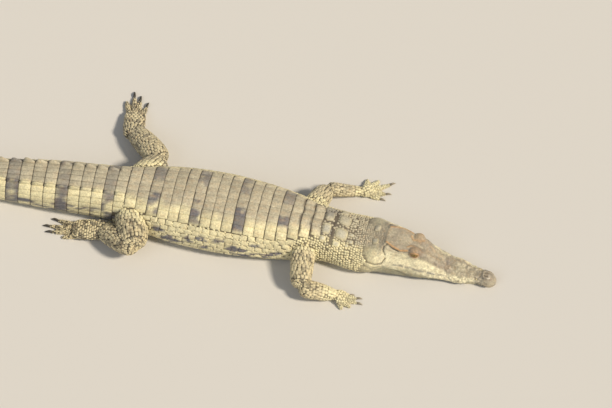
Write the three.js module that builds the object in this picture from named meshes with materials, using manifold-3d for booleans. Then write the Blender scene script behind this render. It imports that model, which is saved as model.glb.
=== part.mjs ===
// A nile crocodile, about two metres long, lying at rest on its belly with its legs out to the sides.
// Millimetres, +Z up, the head towards +X. The origin is on the floor under the middle of the outline.
import * as THREE from "three";
import { mergeVertices } from "three/addons/utils/BufferGeometryUtils.js";
import Module from "manifold-3d";

const wasm = await Module();
wasm.setup();

// ---------------------------------------------------------------- driving dimensions, mm and degrees
// A station is a distance along the midline, behind the tip of the snout.
const SNOUT_TIP = [999, -279]; // where the snout ends, on the floor plan
const MIDDLE = [-13, -16.6]; // the middle of the whole outline on that plan, which becomes the origin
const HEAD_START = 0.8;
const NECK_START = 335; // behind the corners of the jaw
const CHEST_START = 455; // in front of the shoulders
const BELLY_START = 740; // behind the ribs
const TAIL_START = 1000; // at the vent
const TAIL_CUTS = [TAIL_START, 1270, 1540, 1800, 2072]; // the tail's four lengths, ending at its tip
const TAIL_TIP = TAIL_CUTS[TAIL_CUTS.length - 1];
const GAP = 0.3; // clear space between two touching pieces
const SNOUT_ROUND = 20; // the length over which the tip of the snout rounds off
const TAIL_ROUND = 14; // the same at the tip of the tail

// The way that the midline points at each station, in degrees from +X.
const heading = profile([
  [0, -17.5], [285, -17], [325, -9.5], [360, -10.5], [420, -15.5], [480, -13.5], [520, -12.8],
  [860, -12.4], [1030, -11.5],
  [1190, -9.5], [1350, -8], [1500, -4.5], [1650, 0.5], [1790, 7], [1920, 14], [2072, 21],
]);

// Neck, trunk and tail: half the width, the height of the back, and the height where they are widest.
const halfWidth = profile([
  [300, 68], [345, 79], [375, 80], [428, 74], [465, 73], [520, 83], [600, 98], [680, 108],
  [750, 112], [860, 107], [930, 95], [1000, 79], [1080, 70], [1190, 66], [1350, 53],
  [1500, 41], [1650, 31], [1800, 21.5], [1950, 13], [2072, 6],
]);
const backHeight = profile([
  [300, 98], [345, 93], [390, 96], [430, 106], [500, 121], [600, 133], [700, 137], [800, 136],
  [900, 131], [1030, 123], [1190, 111], [1350, 98], [1500, 84], [1650, 69], [1800, 53],
  [1950, 35], [2072, 16],
]);
const widestShare = profile([[300, 0.42], [420, 0.4], [700, 0.36], [950, 0.4], [1100, 0.45], [2072, 0.46]]);
const flatShare = profile([[300, 1.12], [500, 1.24], [900, 1.24], [1100, 1.18], [2072, 1.18]]);

// Head: the line of the mouth, the middle of the top, and the half widths and heights of the edges that
// shape each cross-section, from the brow and skull table down to the flat under the jaw.
const mouthHeight = profile([
  [0, 13], [20, 13], [47, 21], [63, 19], [95, 12], [128, 16], [165, 21], [197, 20], [225, 26],
  [250, 38], [268, 44], [345, 46],
]);
const topMiddle = profile([
  [0, 27], [10, 36], [23, 41], [42, 36], [62, 35], [92, 38], [122, 43], [150, 54], [175, 69],
  [195, 82], [219, 89], [240, 94], [265, 101], [296, 104], [318, 97], [345, 93],
]);
const browWidth = profile([
  [0, 8], [23, 10], [42, 9], [62, 12], [92, 17], [122, 18], [150, 18], [175, 20], [195, 24],
  [213, 26], [233, 26], [255, 28], [296, 31], [318, 36], [345, 42],
]);
const browHeight = profile([
  [0, 25], [23, 39], [42, 34], [62, 33.5], [92, 36], [122, 41], [150, 52], [175, 69], [192, 86],
  [219, 97], [235, 95], [250, 99], [296, 104], [315, 95], [345, 89],
]);
const faceWidth = profile([
  [0, 15], [22, 18], [44, 16], [62, 20], [92, 27], [122, 31], [150, 34], [175, 37], [195, 38],
  [232, 38], [250, 40], [280, 45], [300, 52], [345, 64],
]);
const faceHeight = profile([
  [0, 20], [22, 30], [44, 28], [62, 27], [92, 28], [122, 31], [150, 36], [175, 47], [195, 60],
  [213, 69], [232, 75], [250, 80], [300, 80], [345, 74],
]);
const jawWidth = profile([
  [0, 18], [18, 21.5], [34, 21.8], [49, 19.5], [64, 25], [95, 34], [120, 36], [154, 43], [199, 54],
  [240, 60], [266, 65], [300, 69], [325, 75], [345, 79],
]);
// The lower jaw is narrower, which leaves room beneath the lip for the upper teeth.
const lowerWidth = profile([
  [0, 10], [13, 12.8], [20, 14.8], [34, 15.8], [49, 17.6], [64, 19], [95, 27.5], [120, 29.5], [154, 36.5],
  [199, 47.5], [240, 58], [266, 64.5], [300, 69], [325, 75], [345, 79],
]);

const EYE = { station: 219, out: 23, height: 88, radius: 13 };

// Teeth of the upper jaw that show outside the lower one, and the pair of lower ones in the notches.
const TOOTH_STATIONS = Array.from({ length: 12 }, (_, i) => 18 + 15.5 * i);
const NOTCH_STATION = 49;
const TOOTH = { radius: 2.2, length: 8.5, sides: 5 };
const FANG = { radius: 2.6, length: 16, out: 17.5 };

// Crest along the tail: two rows that come together at CREST_JOIN, then one row to the tip.
const CREST_JOIN = 1560;
const crestPitch = profile([[1010, 30], [1200, 33.5], [1400, 34], [1600, 31], [1800, 26], [2000, 20]]);
const crestHeight = profile([
  [1010, 4], [1200, 9], [1400, 15], [1540, 20], [1700, 22], [1900, 17], [2050, 8],
]);
// How far out a crest stands, as a share of the half width.
const crestOut = profile([[1010, 0.5], [1300, 0.56], [1450, 0.42], [1560, 0.12]]);
const CREST_LEAN = 16; // degrees outwards in the double rows
const CREST_THICK = 7;
const CREST_SUNK = 6;

// Legs: the joints as [x, y, height], the half widths of the flesh at the ends of each length, and the
// tips of the toes in order from the inner one. The first three toes carry claws.
const LEGS = {
  front_left: {
    root: [510, -92, 72], bend: [553, -7, 44], end: [650, 1, 17],
    upper: [34, 30, 25], lower: [22, 17, 14], palm: 24, heel: 14, webbed: 0.5,
    toeRadius: 6.4, claw: 14,
    toes: [[703, -17], [719, 1], [730, 34], [699, 50], [664, 56]],
  },
  front_right: {
    root: [493, -196, 72], bend: [480, -312, 40], end: [578, -321, 17],
    upper: [34, 31, 27], lower: [27, 24, 16], palm: 24, heel: 15, webbed: 0.5,
    toeRadius: 6.4, claw: 14,
    toes: [[621, -313], [641, -324], [641, -341], [621, -358], [594, -366]],
  },
  rear_left: {
    root: [46, -3, 66], bend: [118, 73, 58], end: [39, 185, 26],
    upper: [42, 40, 31], lower: [31, 33, 28], palm: 31, heel: 29, webbed: 0.58,
    toeRadius: 7.2, claw: 17,
    toes: [[77, 284], [58, 305], [41, 318], [17, 305]],
  },
  rear_right: {
    root: [30, -82, 66], bend: [47, -201, 63], end: [-43, -124, 26],
    upper: [43, 42, 33], lower: [34, 33, 27], palm: 32, heel: 29, webbed: 0.58,
    toeRadius: 7.2, claw: 17,
    toes: [[-172, -77], [-194, -97], [-188, -116], [-160, -136]],
  },
};
const CLAWED_TOES = 3;

// Facets: how many sides and rows each kind of piece is drawn with.
const BODY_SIDES = 20;
const HEAD_SIDES = 24;
const TAIL_SIDES = 12;
const HEAD_ROWS = 28;
const HEAD_CROWDING = 1.3; // how much closer together the rows are at the tip of the snout
const ROW = { body: 32, tail: 32 };

const SKIN = { color: 0xb9ae8c, roughness: 0.75 };
const BONE_SKIN = { color: 0xada384, roughness: 0.6 };
const CLAW = { color: 0x4a4238, roughness: 0.45 };
const EYEBALL = { color: 0xa08a4a, roughness: 0.2 };

// ---------------------------------------------------------------- curves and places
// A smooth function through [place, value] pairs, level beyond its two ends.
function profile(points) {
  const last = points.length - 1;
  const slope = points.map((_, i) => {
    const [before, after] = [points[Math.max(i - 1, 0)], points[Math.min(i + 1, last)]];
    return (after[1] - before[1]) / (after[0] - before[0]);
  });
  return (place) => {
    if (place <= points[0][0]) return points[0][1];
    if (place >= points[last][0]) return points[last][1];
    const i = points.findIndex((p) => p[0] > place) - 1;
    const [[x0, y0], [x1, y1]] = [points[i], points[i + 1]];
    const span = x1 - x0;
    const t = (place - x0) / span;
    const rise = t * t * (3 - 2 * t);
    const bow = span * t * (1 - t) * ((1 - t) * slope[i] - t * slope[i + 1]);
    return y0 + (y1 - y0) * rise + bow;
  };
}

const smooth = (low, high, x) => THREE.MathUtils.smoothstep(x, low, high);

// The midline on the floor, walked backwards from the snout in steps of a millimetre.
const midline = [new THREE.Vector2(...SNOUT_TIP)];
for (let station = 0; station < TAIL_TIP; station++) {
  const turn = THREE.MathUtils.degToRad(heading(station + 0.5));
  midline.push(midline[station].clone().add(new THREE.Vector2(-Math.cos(turn), -Math.sin(turn))));
}

// The point that lies out to the right of the midline at a station, at a height above the floor.
function place(station, right, height) {
  const i = THREE.MathUtils.clamp(Math.floor(station), 0, TAIL_TIP - 1);
  const at = midline[i].clone().lerp(midline[i + 1], station - i);
  const turn = THREE.MathUtils.degToRad(heading(station));
  return new THREE.Vector3(at.x + right * Math.sin(turn), at.y - right * Math.cos(turn), height);
}

// ---------------------------------------------------------------- cross-sections
// Each takes a station and how far round it is, from 0 on the back to 1 on the belly, and returns
// [how far out, how high].
function bodySection(station, round) {
  const angle = round * Math.PI;
  const [wide, high] = [halfWidth(station), backHeight(station)];
  const widest = high * widestShare(station);
  const out = wide * Math.pow(Math.sin(angle), 0.86);
  const lift = Math.cos(angle);
  const height = lift > 0
    ? widest + (high - widest) * Math.pow(lift, 0.92)
    : widest - widest * flatShare(station) * Math.pow(-lift, 0.85);
  return [out, Math.max(height, 0)];
}

function headSection(station, round) {
  const mouth = mouthHeight(station);
  const jaw = jawWidth(station);
  const lower = lowerWidth(station);
  const edges = [
    [0, 0, topMiddle(station)],
    [0.2, browWidth(station), browHeight(station)],
    [0.36, faceWidth(station), faceHeight(station)],
    [0.49, jaw - 0.6, mouth + 7],
    [0.555, jaw, mouth + 0.6],
    [0.6, lower, mouth - 0.8],
    [0.72, lower - 2, mouth * 0.45],
    [0.84, jaw * 0.68, 0],
    [1, 0, 0],
  ];
  const out = profile(edges.map(([at, wide]) => [at, wide]))(round);
  const height = profile(edges.map(([at, , high]) => [at, high]))(round);
  return [Math.max(out, 0), Math.max(height, 0)];
}

// The outline of the whole animal without its legs, grown outwards by a small amount where asked.
function outline(station, round, grown = 0) {
  const share = smooth(300, 345, station);
  const tip = Math.min(station / SNOUT_ROUND, (TAIL_TIP - station) / TAIL_ROUND, 1);
  const rounding = Math.sqrt(Math.max(1 - (1 - tip) ** 2, 0.01));
  const head = share < 1 ? headSection(station, round) : [0, 0];
  const body = share > 0 ? bodySection(station, round) : [0, 0];
  const mix = (i) => head[i] * (1 - share) + body[i] * share;
  const [out, height] = [mix(0) * rounding, mix(1)];
  const middle = (station < NECK_START ? mouthHeight(station) : backHeight(station) * 0.5) * 0.9;
  const away = new THREE.Vector2(out, height - middle);
  const wanted = Math.max(away.length(), 1e-6);
  const size = 1 + grown / wanted;
  return [out * size, Math.max(middle + away.y * rounding * size, 0)];
}

// ---------------------------------------------------------------- making solids
// A closed geometry as a solid.
function solid(geometry) {
  const bare = new THREE.BufferGeometry()
    .setAttribute("position", geometry.getAttribute("position"))
    .setIndex(geometry.getIndex());
  const merged = mergeVertices(bare, 1e-3);
  return new wasm.Manifold(new wasm.Mesh({
    numProp: 3,
    vertProperties: merged.getAttribute("position").array,
    triVerts: new Uint32Array(merged.getIndex().array),
  }));
}

// The geometry of a solid.
function geometryOf(made) {
  const mesh = made.getMesh();
  const corners = new Float32Array(mesh.numVert * 3);
  for (let i = 0; i < mesh.numVert; i++)
    corners.set(mesh.vertProperties.subarray(i * mesh.numProp, i * mesh.numProp + 3), i * 3);
  const geometry = new THREE.BufferGeometry()
    .setAttribute("position", new THREE.BufferAttribute(corners, 3))
    .setIndex(new THREE.BufferAttribute(mesh.triVerts, 1));
  geometry.computeVertexNormals();
  return geometry;
}

// Moves every point of a geometry to where a function puts it.
function moved(geometry, to) {
  const position = geometry.getAttribute("position");
  for (let i = 0; i < position.count; i++) {
    const point = to(new THREE.Vector3().fromBufferAttribute(position, i));
    position.setXYZ(i, point.x, point.y, point.z);
  }
  return geometry;
}

// A length of the body between two stations: a cylinder whose rings take the shape of the sections.
// Crowding above 1 sets the rings closer together towards the first station.
function bodyLength(from, to, sides, rows, grown = 0, crowding = 1) {
  return solid(moved(new THREE.CylinderGeometry(1, 1, 1, sides, rows), (p) => {
    const station = THREE.MathUtils.lerp(from, to, (0.5 - p.y) ** crowding);
    const reach = Math.hypot(p.x, p.z);
    if (reach < 0.5) return place(station, 0, backHeight(station) * 0.4 * (station > 300 ? 1 : 0.3));
    const round = Math.abs(Math.atan2(p.x, p.z)) / Math.PI;
    const [out, height] = outline(station, round, grown);
    return place(station, Math.sign(p.x) * (Math.abs(p.x) < 1e-6 ? 0 : out), height);
  }));
}

// Round-ended flesh along a path, from half widths and half heights given as functions of how far along.
function flesh(path, wide, high, sides, rows, grown = 0) {
  return solid(moved(new THREE.SphereGeometry(1, sides, rows), (p) => {
    const along = (1 - p.y) / 2;
    const at = path.getPointAt(along);
    const ahead = path.getTangentAt(along);
    const side = new THREE.Vector3(ahead.y, -ahead.x, 0).normalize();
    const up = side.clone().cross(ahead);
    const reach = Math.hypot(p.x, p.z);
    if (reach < 1e-6) return at.addScaledVector(ahead, -Math.sign(p.y) * grown);
    const rounding = Math.pow(1 - Math.abs(p.y) ** 4, 0.25);
    const [out, lift] = [wide(along) * rounding + grown, high(along) * rounding + grown];
    at.addScaledVector(side, (-p.x / reach) * out).addScaledVector(up, (p.z / reach) * lift);
    at.z = Math.max(at.z, 0);
    return at;
  }));
}

const vector = (xyz) => new THREE.Vector3(...xyz);
const ends = (a, b) => new THREE.LineCurve3(vector(a), vector(b));
const evenly = (sizes) => profile(sizes.map((size, i) => [i / (sizes.length - 1), size]));

function meshOf(name, made, finish) {
  const mesh = new THREE.Mesh(
    geometryOf(made),
    new THREE.MeshStandardMaterial({ color: finish.color, roughness: finish.roughness, metalness: 0 }),
  );
  mesh.name = name;
  return mesh;
}

// ---------------------------------------------------------------- head
// A thin curved sheet along the line of the mouth, that parts the lower jaw from the skull. Its rows
// fall on the rings of the head, and its two ends stand clear of it.
function mouthCut() {
  const clear = 5;
  return solid(moved(new THREE.BoxGeometry(1, 1, 1, HEAD_ROWS, 1, 1), (p) => {
    const station = THREE.MathUtils.lerp(HEAD_START, NECK_START - GAP, (p.x + 0.5) ** HEAD_CROWDING);
    const beyond = Math.abs(p.x) > 0.499 ? -Math.sign(p.x) * clear : 0;
    const at = place(station, p.y * 200, mouthHeight(station) + p.z * GAP);
    return at.add(new THREE.Vector3(beyond, 0, 0));
  }));
}

// A tooth that hangs from the edge of the upper jaw, on one side (1 right, -1 left).
function tooth(station, side) {
  const { radius, length, sides } = TOOTH;
  const cone = new THREE.ConeGeometry(radius, length + 2, sides).rotateX(-Math.PI / 2);
  const hang = length * 0.5 - 2.5;
  const out = jawWidth(station) * roundingAt(station) - radius - 0.4;
  const at = place(station, side * out, mouthHeight(station) - hang);
  return solid(cone.translate(at.x, at.y, at.z));
}

// The tall lower tooth that stands in the notch behind the tip of the snout.
function fang(side, grown = 0) {
  const cone = new THREE.ConeGeometry(FANG.radius + grown, FANG.length, TOOTH.sides).rotateX(Math.PI / 2);
  const at = place(NOTCH_STATION, side * FANG.out, mouthHeight(NOTCH_STATION));
  return solid(cone.translate(at.x, at.y, at.z));
}

const roundingAt = (station) => Math.sqrt(1 - (1 - Math.min(station / SNOUT_ROUND, 1)) ** 2);

function eyeball(side, grown = 0) {
  const at = place(EYE.station, side * EYE.out, EYE.height);
  return solid(new THREE.SphereGeometry(EYE.radius + grown, 12, 8).translate(at.x, at.y, at.z));
}

function headMeshes() {
  const whole = bodyLength(HEAD_START, NECK_START - GAP, HEAD_SIDES, HEAD_ROWS, 0, HEAD_CROWDING);
  const parted = whole.subtract(mouthCut()).decompose();
  let [skull, jaw] = parted.sort((a, b) => b.boundingBox().max[2] - a.boundingBox().max[2]);
  for (const side of [1, -1]) {
    skull = skull.subtract(eyeball(side, GAP));
    jaw = jaw.add(fang(side));
    skull = skull.subtract(fang(side, 0.4));
    for (const station of TOOTH_STATIONS) {
      if (Math.abs(station - NOTCH_STATION) < 9) continue;
      skull = skull.add(tooth(station, side));
    }
  }
  return [
    meshOf("skull", skull, BONE_SKIN),
    meshOf("lower_jaw", jaw, BONE_SKIN),
    meshOf("eye_right", eyeball(1), EYEBALL),
    meshOf("eye_left", eyeball(-1), EYEBALL),
  ];
}

// ---------------------------------------------------------------- trunk and tail
// One plate of the crest: a low four-sided spike, long in the line of the tail and thin across it.
function crestPlate(station, side, pitch) {
  const [tall, share] = [crestHeight(station), side === 0 ? 0 : crestOut(station)];
  const cone = new THREE.ConeGeometry(1, 1, 4, 1).rotateX(Math.PI / 2).rotateZ(Math.PI / 4);
  const out = share * halfWidth(station);
  const seat = outline(station, (Math.asin(Math.min(share, 1)) / Math.PI) * 0.92)[1];
  const lean = THREE.MathUtils.degToRad(CREST_LEAN) * side;
  return solid(moved(cone, (p) => {
    const rise = (p.z + 0.5) * (tall + CREST_SUNK) - CREST_SUNK;
    const along = p.x * Math.SQRT2 * pitch * 0.46 + (p.z > 0 ? pitch * 0.14 : 0);
    const across = p.y * Math.SQRT2 * CREST_THICK * 0.5;
    return place(station + along, side * out + across + Math.sin(lean) * rise, seat + rise * Math.cos(lean));
  }));
}

function tailMeshes() {
  const plates = [];
  for (let station = TAIL_START + 22; station < TAIL_TIP - 16; station += crestPitch(station)) {
    const sides = station < CREST_JOIN ? [1, -1] : [0];
    for (const side of sides) plates.push({ station, side, pitch: crestPitch(station) });
  }
  return TAIL_CUTS.slice(0, -1).map((from, i) => {
    const to = TAIL_CUTS[i + 1] - GAP;
    const room = sliceRoom(from, to);
    const own = plates.filter(({ station, pitch }) => station + pitch > from && station - pitch < to);
    const crest = own.map(({ station, side, pitch }) => crestPlate(station, side, pitch).intersect(room));
    const bare = bodyLength(from, to, TAIL_SIDES, rowsIn(from, to, ROW.tail));
    const made = crest.reduce((all, plate) => all.add(plate), bare);
    return meshOf(`tail_${i + 1}`, made, SKIN);
  });
}

// The space between two stations, which keeps a crest plate inside its own length of the tail.
function sliceRoom(from, to) {
  return solid(moved(new THREE.BoxGeometry(1, 1, 1, 8, 1, 1), (p) => {
    const station = THREE.MathUtils.lerp(from, to, p.x + 0.5);
    return place(station, p.y * 240, (p.z + 0.5) * 260 - 20);
  }));
}

const rowsIn = (from, to, row) => Math.round((to - from) / row);
const trunkLength = (from, to) => [from, to - GAP, BODY_SIDES, rowsIn(from, to, ROW.body)];
const TRUNK = {
  neck: trunkLength(NECK_START, CHEST_START),
  chest: trunkLength(CHEST_START, BELLY_START),
  belly: trunkLength(BELLY_START, TAIL_START),
};

function trunkMeshes() {
  return Object.entries(TRUNK).map(([name, sizes]) => meshOf(name, bodyLength(...sizes), SKIN));
}

// All that the legs lie against, grown by the gap that they keep from it.
function trunkRoom() {
  const tail = [TAIL_CUTS[0], TAIL_CUTS[1] - GAP, TAIL_SIDES, rowsIn(TAIL_CUTS[0], TAIL_CUTS[1], ROW.tail)];
  const lengths = [...Object.values(TRUNK), tail].map((sizes) => bodyLength(...sizes, GAP));
  return lengths.reduce((all, length) => all.add(length));
}

// ---------------------------------------------------------------- legs
// The end of a leg: a flat palm or sole, with a toe to each tip.
function footSolid(leg, grown = 0) {
  const wrist = vector(leg.end);
  const middle = leg.toes
    .reduce((sum, [x, y]) => sum.add(new THREE.Vector3(x, y, 0)), new THREE.Vector3())
    .divideScalar(leg.toes.length);
  const knuckles = wrist.clone().lerp(middle.setZ(leg.toeRadius), leg.webbed);
  const sole = new THREE.LineCurve3(wrist.clone().lerp(knuckles, -0.3), knuckles);
  const wide = evenly([leg.heel, (leg.heel + leg.palm) / 2, leg.palm]);
  const high = evenly([leg.lower[2] * 0.95, leg.toeRadius * 1.8, leg.toeRadius * 1.2]);
  let made = flesh(sole, wide, high, 10, 5, grown);
  for (const tip of leg.toes) made = made.add(toe(leg, tip, grown));
  return made;
}

// A toe runs from inside the palm to just short of its tip, which the claw reaches.
function toePath(leg, [x, y]) {
  const wrist = vector(leg.end);
  const tip = new THREE.Vector3(x, y, leg.toeRadius * 0.55);
  const direction = tip.clone().sub(wrist).setZ(0).normalize();
  const start = wrist.clone().lerp(tip, 0.3).setZ(leg.toeRadius * 1.3);
  const knuckle = wrist.clone().lerp(tip, 0.62).setZ(leg.toeRadius * 0.95);
  return new THREE.CatmullRomCurve3([start, knuckle, tip.addScaledVector(direction, -leg.claw * 0.6)]);
}

function toe(leg, tip, grown = 0) {
  const r = leg.toeRadius;
  const wide = evenly([r * 1.15, r, r * 0.75]);
  const high = evenly([r * 1.1, r, r * 0.75]);
  return flesh(toePath(leg, tip), wide, high, 6, 4, grown);
}

// A claw: a curved cone from inside the toe's end, over the tip and down to the floor.
function claw(leg, [x, y]) {
  const end = toePath(leg, [x, y]).getPointAt(1);
  const direction = new THREE.Vector3(x, y, end.z).sub(end).normalize();
  const path = new THREE.CatmullRomCurve3([
    end.clone().addScaledVector(direction, -4),
    end.clone().addScaledVector(direction, leg.claw * 0.4).setZ(leg.toeRadius * 0.95),
    end.clone().addScaledVector(direction, leg.claw).setZ(1.2),
  ]);
  const r = leg.toeRadius * 0.52;
  return flesh(path, evenly([r, r * 0.75, 0.5]), evenly([r * 1.1, r * 0.85, 0.6]), 5, 4);
}

function legMeshes(name, leg, trunk) {
  const path = { upper: ends(leg.root, leg.bend), lower: ends(leg.bend, leg.end) };
  const length = (part, grown = 0) =>
    flesh(path[part], evenly(leg[part]), evenly(leg[part].map((r) => r * 0.92)), 10, 8, grown);
  const [upper, lower] = [length("upper").subtract(trunk), length("lower")];
  const foot = footSolid(leg);
  const names = name.startsWith("front") ? ["upper_arm", "forearm", "hand"] : ["thigh", "shank", "foot"];
  const largest = (made) => made.decompose().sort((a, b) => b.volume() - a.volume())[0];
  const meshes = [
    meshOf(`${names[0]}_${name}`, largest(upper), SKIN),
    meshOf(`${names[1]}_${name}`, largest(lower.subtract(length("upper", GAP)).subtract(trunk)), SKIN),
    meshOf(`${names[2]}_${name}`, largest(foot.subtract(length("lower", GAP)).subtract(trunk)), SKIN),
  ];
  leg.toes.slice(0, CLAWED_TOES).forEach((tip, i) => {
    const cut = leg.toes.reduce((made, other) => made.subtract(toe(leg, other, GAP)), claw(leg, tip));
    meshes.push(meshOf(`claw_${name}_${i + 1}`, largest(cut), CLAW));
  });
  return meshes;
}

// ---------------------------------------------------------------- the whole animal
const crocodile = new THREE.Group();
crocodile.add(...headMeshes(), ...trunkMeshes(), ...tailMeshes());
const room = trunkRoom();
for (const [name, leg] of Object.entries(LEGS)) crocodile.add(...legMeshes(name, leg, room));
for (const mesh of crocodile.children) mesh.geometry.translate(-MIDDLE[0], -MIDDLE[1], 0);

export default crocodile;
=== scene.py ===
"""A young nile crocodile at rest on its belly: its hide, scales, crests, eyes, teeth and claws."""

from __future__ import annotations

import logging
import math
from dataclasses import dataclass, field
from enum import Enum
from functools import partial
from typing import Callable, Iterable, NamedTuple, Protocol, Sequence

import bmesh
import bpy
import numpy as np
from mathutils import Matrix, Vector, noise
from mathutils.bvhtree import BVHTree
from mathutils.kdtree import KDTree

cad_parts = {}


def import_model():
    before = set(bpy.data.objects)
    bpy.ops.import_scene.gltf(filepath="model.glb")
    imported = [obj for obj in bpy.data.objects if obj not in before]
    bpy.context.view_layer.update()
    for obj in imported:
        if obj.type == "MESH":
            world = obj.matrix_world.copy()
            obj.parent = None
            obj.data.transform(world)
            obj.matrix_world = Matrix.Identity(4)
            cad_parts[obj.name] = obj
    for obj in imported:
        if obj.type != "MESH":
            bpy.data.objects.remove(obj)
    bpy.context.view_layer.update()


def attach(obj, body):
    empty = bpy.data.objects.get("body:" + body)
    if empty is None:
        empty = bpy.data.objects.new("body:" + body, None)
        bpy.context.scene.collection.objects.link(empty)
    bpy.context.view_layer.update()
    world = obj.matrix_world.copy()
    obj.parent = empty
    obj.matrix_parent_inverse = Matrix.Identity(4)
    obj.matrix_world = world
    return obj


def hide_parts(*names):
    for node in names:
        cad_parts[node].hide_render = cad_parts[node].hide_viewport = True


LOG = logging.getLogger("crocodile")
MM = 0.001
Array = np.ndarray
RNG = np.random.default_rng(7)

# The plan of the whole animal, in millimetres. A station is a distance behind the tip of the snout.
SNOUT_TIP = (999.0, -279.0)
MIDDLE = (-13.0, -16.6)
NECK_START = 335.0
TAIL_START = 1000.0
TAIL_TIP = 2072.0
SNOUT_ROUND = 20.0
TAIL_ROUND = 14.0
COAT_DEPTH = 1.5
SCALE_SINK = 0.7
CREST_JOIN = 1560.0
CREST_LEAN = 16.0


# ---- curves


class Profile:
    """A smooth function through points, level beyond its two ends."""

    def __init__(self, *points: tuple[float, float]) -> None:
        """Keeps the points, pairs of place and value in rising order, and the slope at each."""
        self.at, self.value = np.array(points, float).T
        self.slope = slopes(self.at, self.value)

    def __call__(self, place: Array | float) -> Array:
        """The value at each place.

        Args:
            place: Where to read the curve.

        Returns:
            The values, in the shape of place.
        """
        x = np.clip(place, self.at[0], self.at[-1])
        i = np.clip(np.searchsorted(self.at, x, side="right") - 1, 0, len(self.at) - 2)
        return hermite(
            x, self.at[i], self.at[i + 1], self.value[i], self.value[i + 1], self.slope[i], self.slope[i + 1]
        )


def slopes(at: Array, value: Array) -> Array:
    """The slope at each point of a curve, from its two neighbours.

    Args:
        at: The points' places.
        value: What the curve is at each: one row for a point.

    Returns:
        The slopes, in the shape of value.
    """
    index = np.arange(len(at))
    before, after = np.maximum(index - 1, 0), np.minimum(index + 1, len(at) - 1)
    return ((value[after] - value[before]).T / (at[after] - at[before])).T


def hermite(x: Array, x0: Array, x1: Array, y0: Array, y1: Array, s0: Array, s1: Array) -> Array:
    """A cubic between two points.

    Args:
        x: Where to read it.
        x0: The first point's place.
        x1: The second point's place.
        y0: The first point's value.
        y1: The second point's value.
        s0: The slope at the first point.
        s1: The slope at the second point.

    Returns:
        The values.
    """
    span = x1 - x0
    t = (x - x0) / span
    return y0 + (y1 - y0) * t * t * (3 - 2 * t) + span * t * (1 - t) * ((1 - t) * s0 - t * s1)


def smooth(low: float, high: float, x: Array | float) -> Array:
    """A smooth step from 0 at low to 1 at high."""
    t = np.clip((np.asarray(x, float) - low) / (high - low), 0.0, 1.0)
    return t * t * (3 - 2 * t)


def unit(v: Array) -> Array:
    """The vectors in rows of v, each at length 1."""
    return v / np.maximum(np.linalg.norm(v, axis=-1, keepdims=True), 1e-9)


def off_path(points: Array, knots: Array) -> Array:
    """How far each point is from a path.

    Args:
        points: The points.
        knots: The path's knots, in order.

    Returns:
        One distance for each point.
    """
    gap = np.full(len(points), np.inf)
    for a, b in zip(knots[:-1], knots[1:]):
        t = np.clip(((points - a) @ (b - a)) / max((b - a) @ (b - a), 1e-6), 0, 1)
        gap = np.minimum(gap, np.linalg.norm(points - a - t[:, None] * (b - a), axis=1))
    return gap


class Surface(Protocol):
    """A form that can be read at two coordinates in millimetres: along it and across it."""

    def points(self, along: Array, across: Array) -> Array:
        """The points at those coordinates, in millimetres."""


def normals(surface: Surface, along: Array, across: Array, step: float = 0.6) -> Array:
    """The outward normals of a surface.

    Args:
        surface: The surface.
        along: How far along it.
        across: How far across it.
        step: The distance over which its slope is measured.

    Returns:
        One unit vector for each place.
    """
    lengthwise = surface.points(along + step, across) - surface.points(along - step, across)
    crosswise = surface.points(along, across + step) - surface.points(along, across - step)
    return unit(np.cross(lengthwise, crosswise))


# ---- the body without its legs


@dataclass(frozen=True)
class Fold:
    """A ridge, or a furrow where rise is negative, that runs over the head on both sides.

    Attributes:
        path: Its knots, each a station and a turn.
        width: How broad it is, in millimetres.
        rise: How high it stands, in millimetres.
        glow: How orange it is, from 0 to 1: partly the rim's own tan, partly a painted highlight on the
            raised rim.
    """

    path: tuple[tuple[float, float], ...]
    width: float
    rise: float
    glow: float = 0.0


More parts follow.
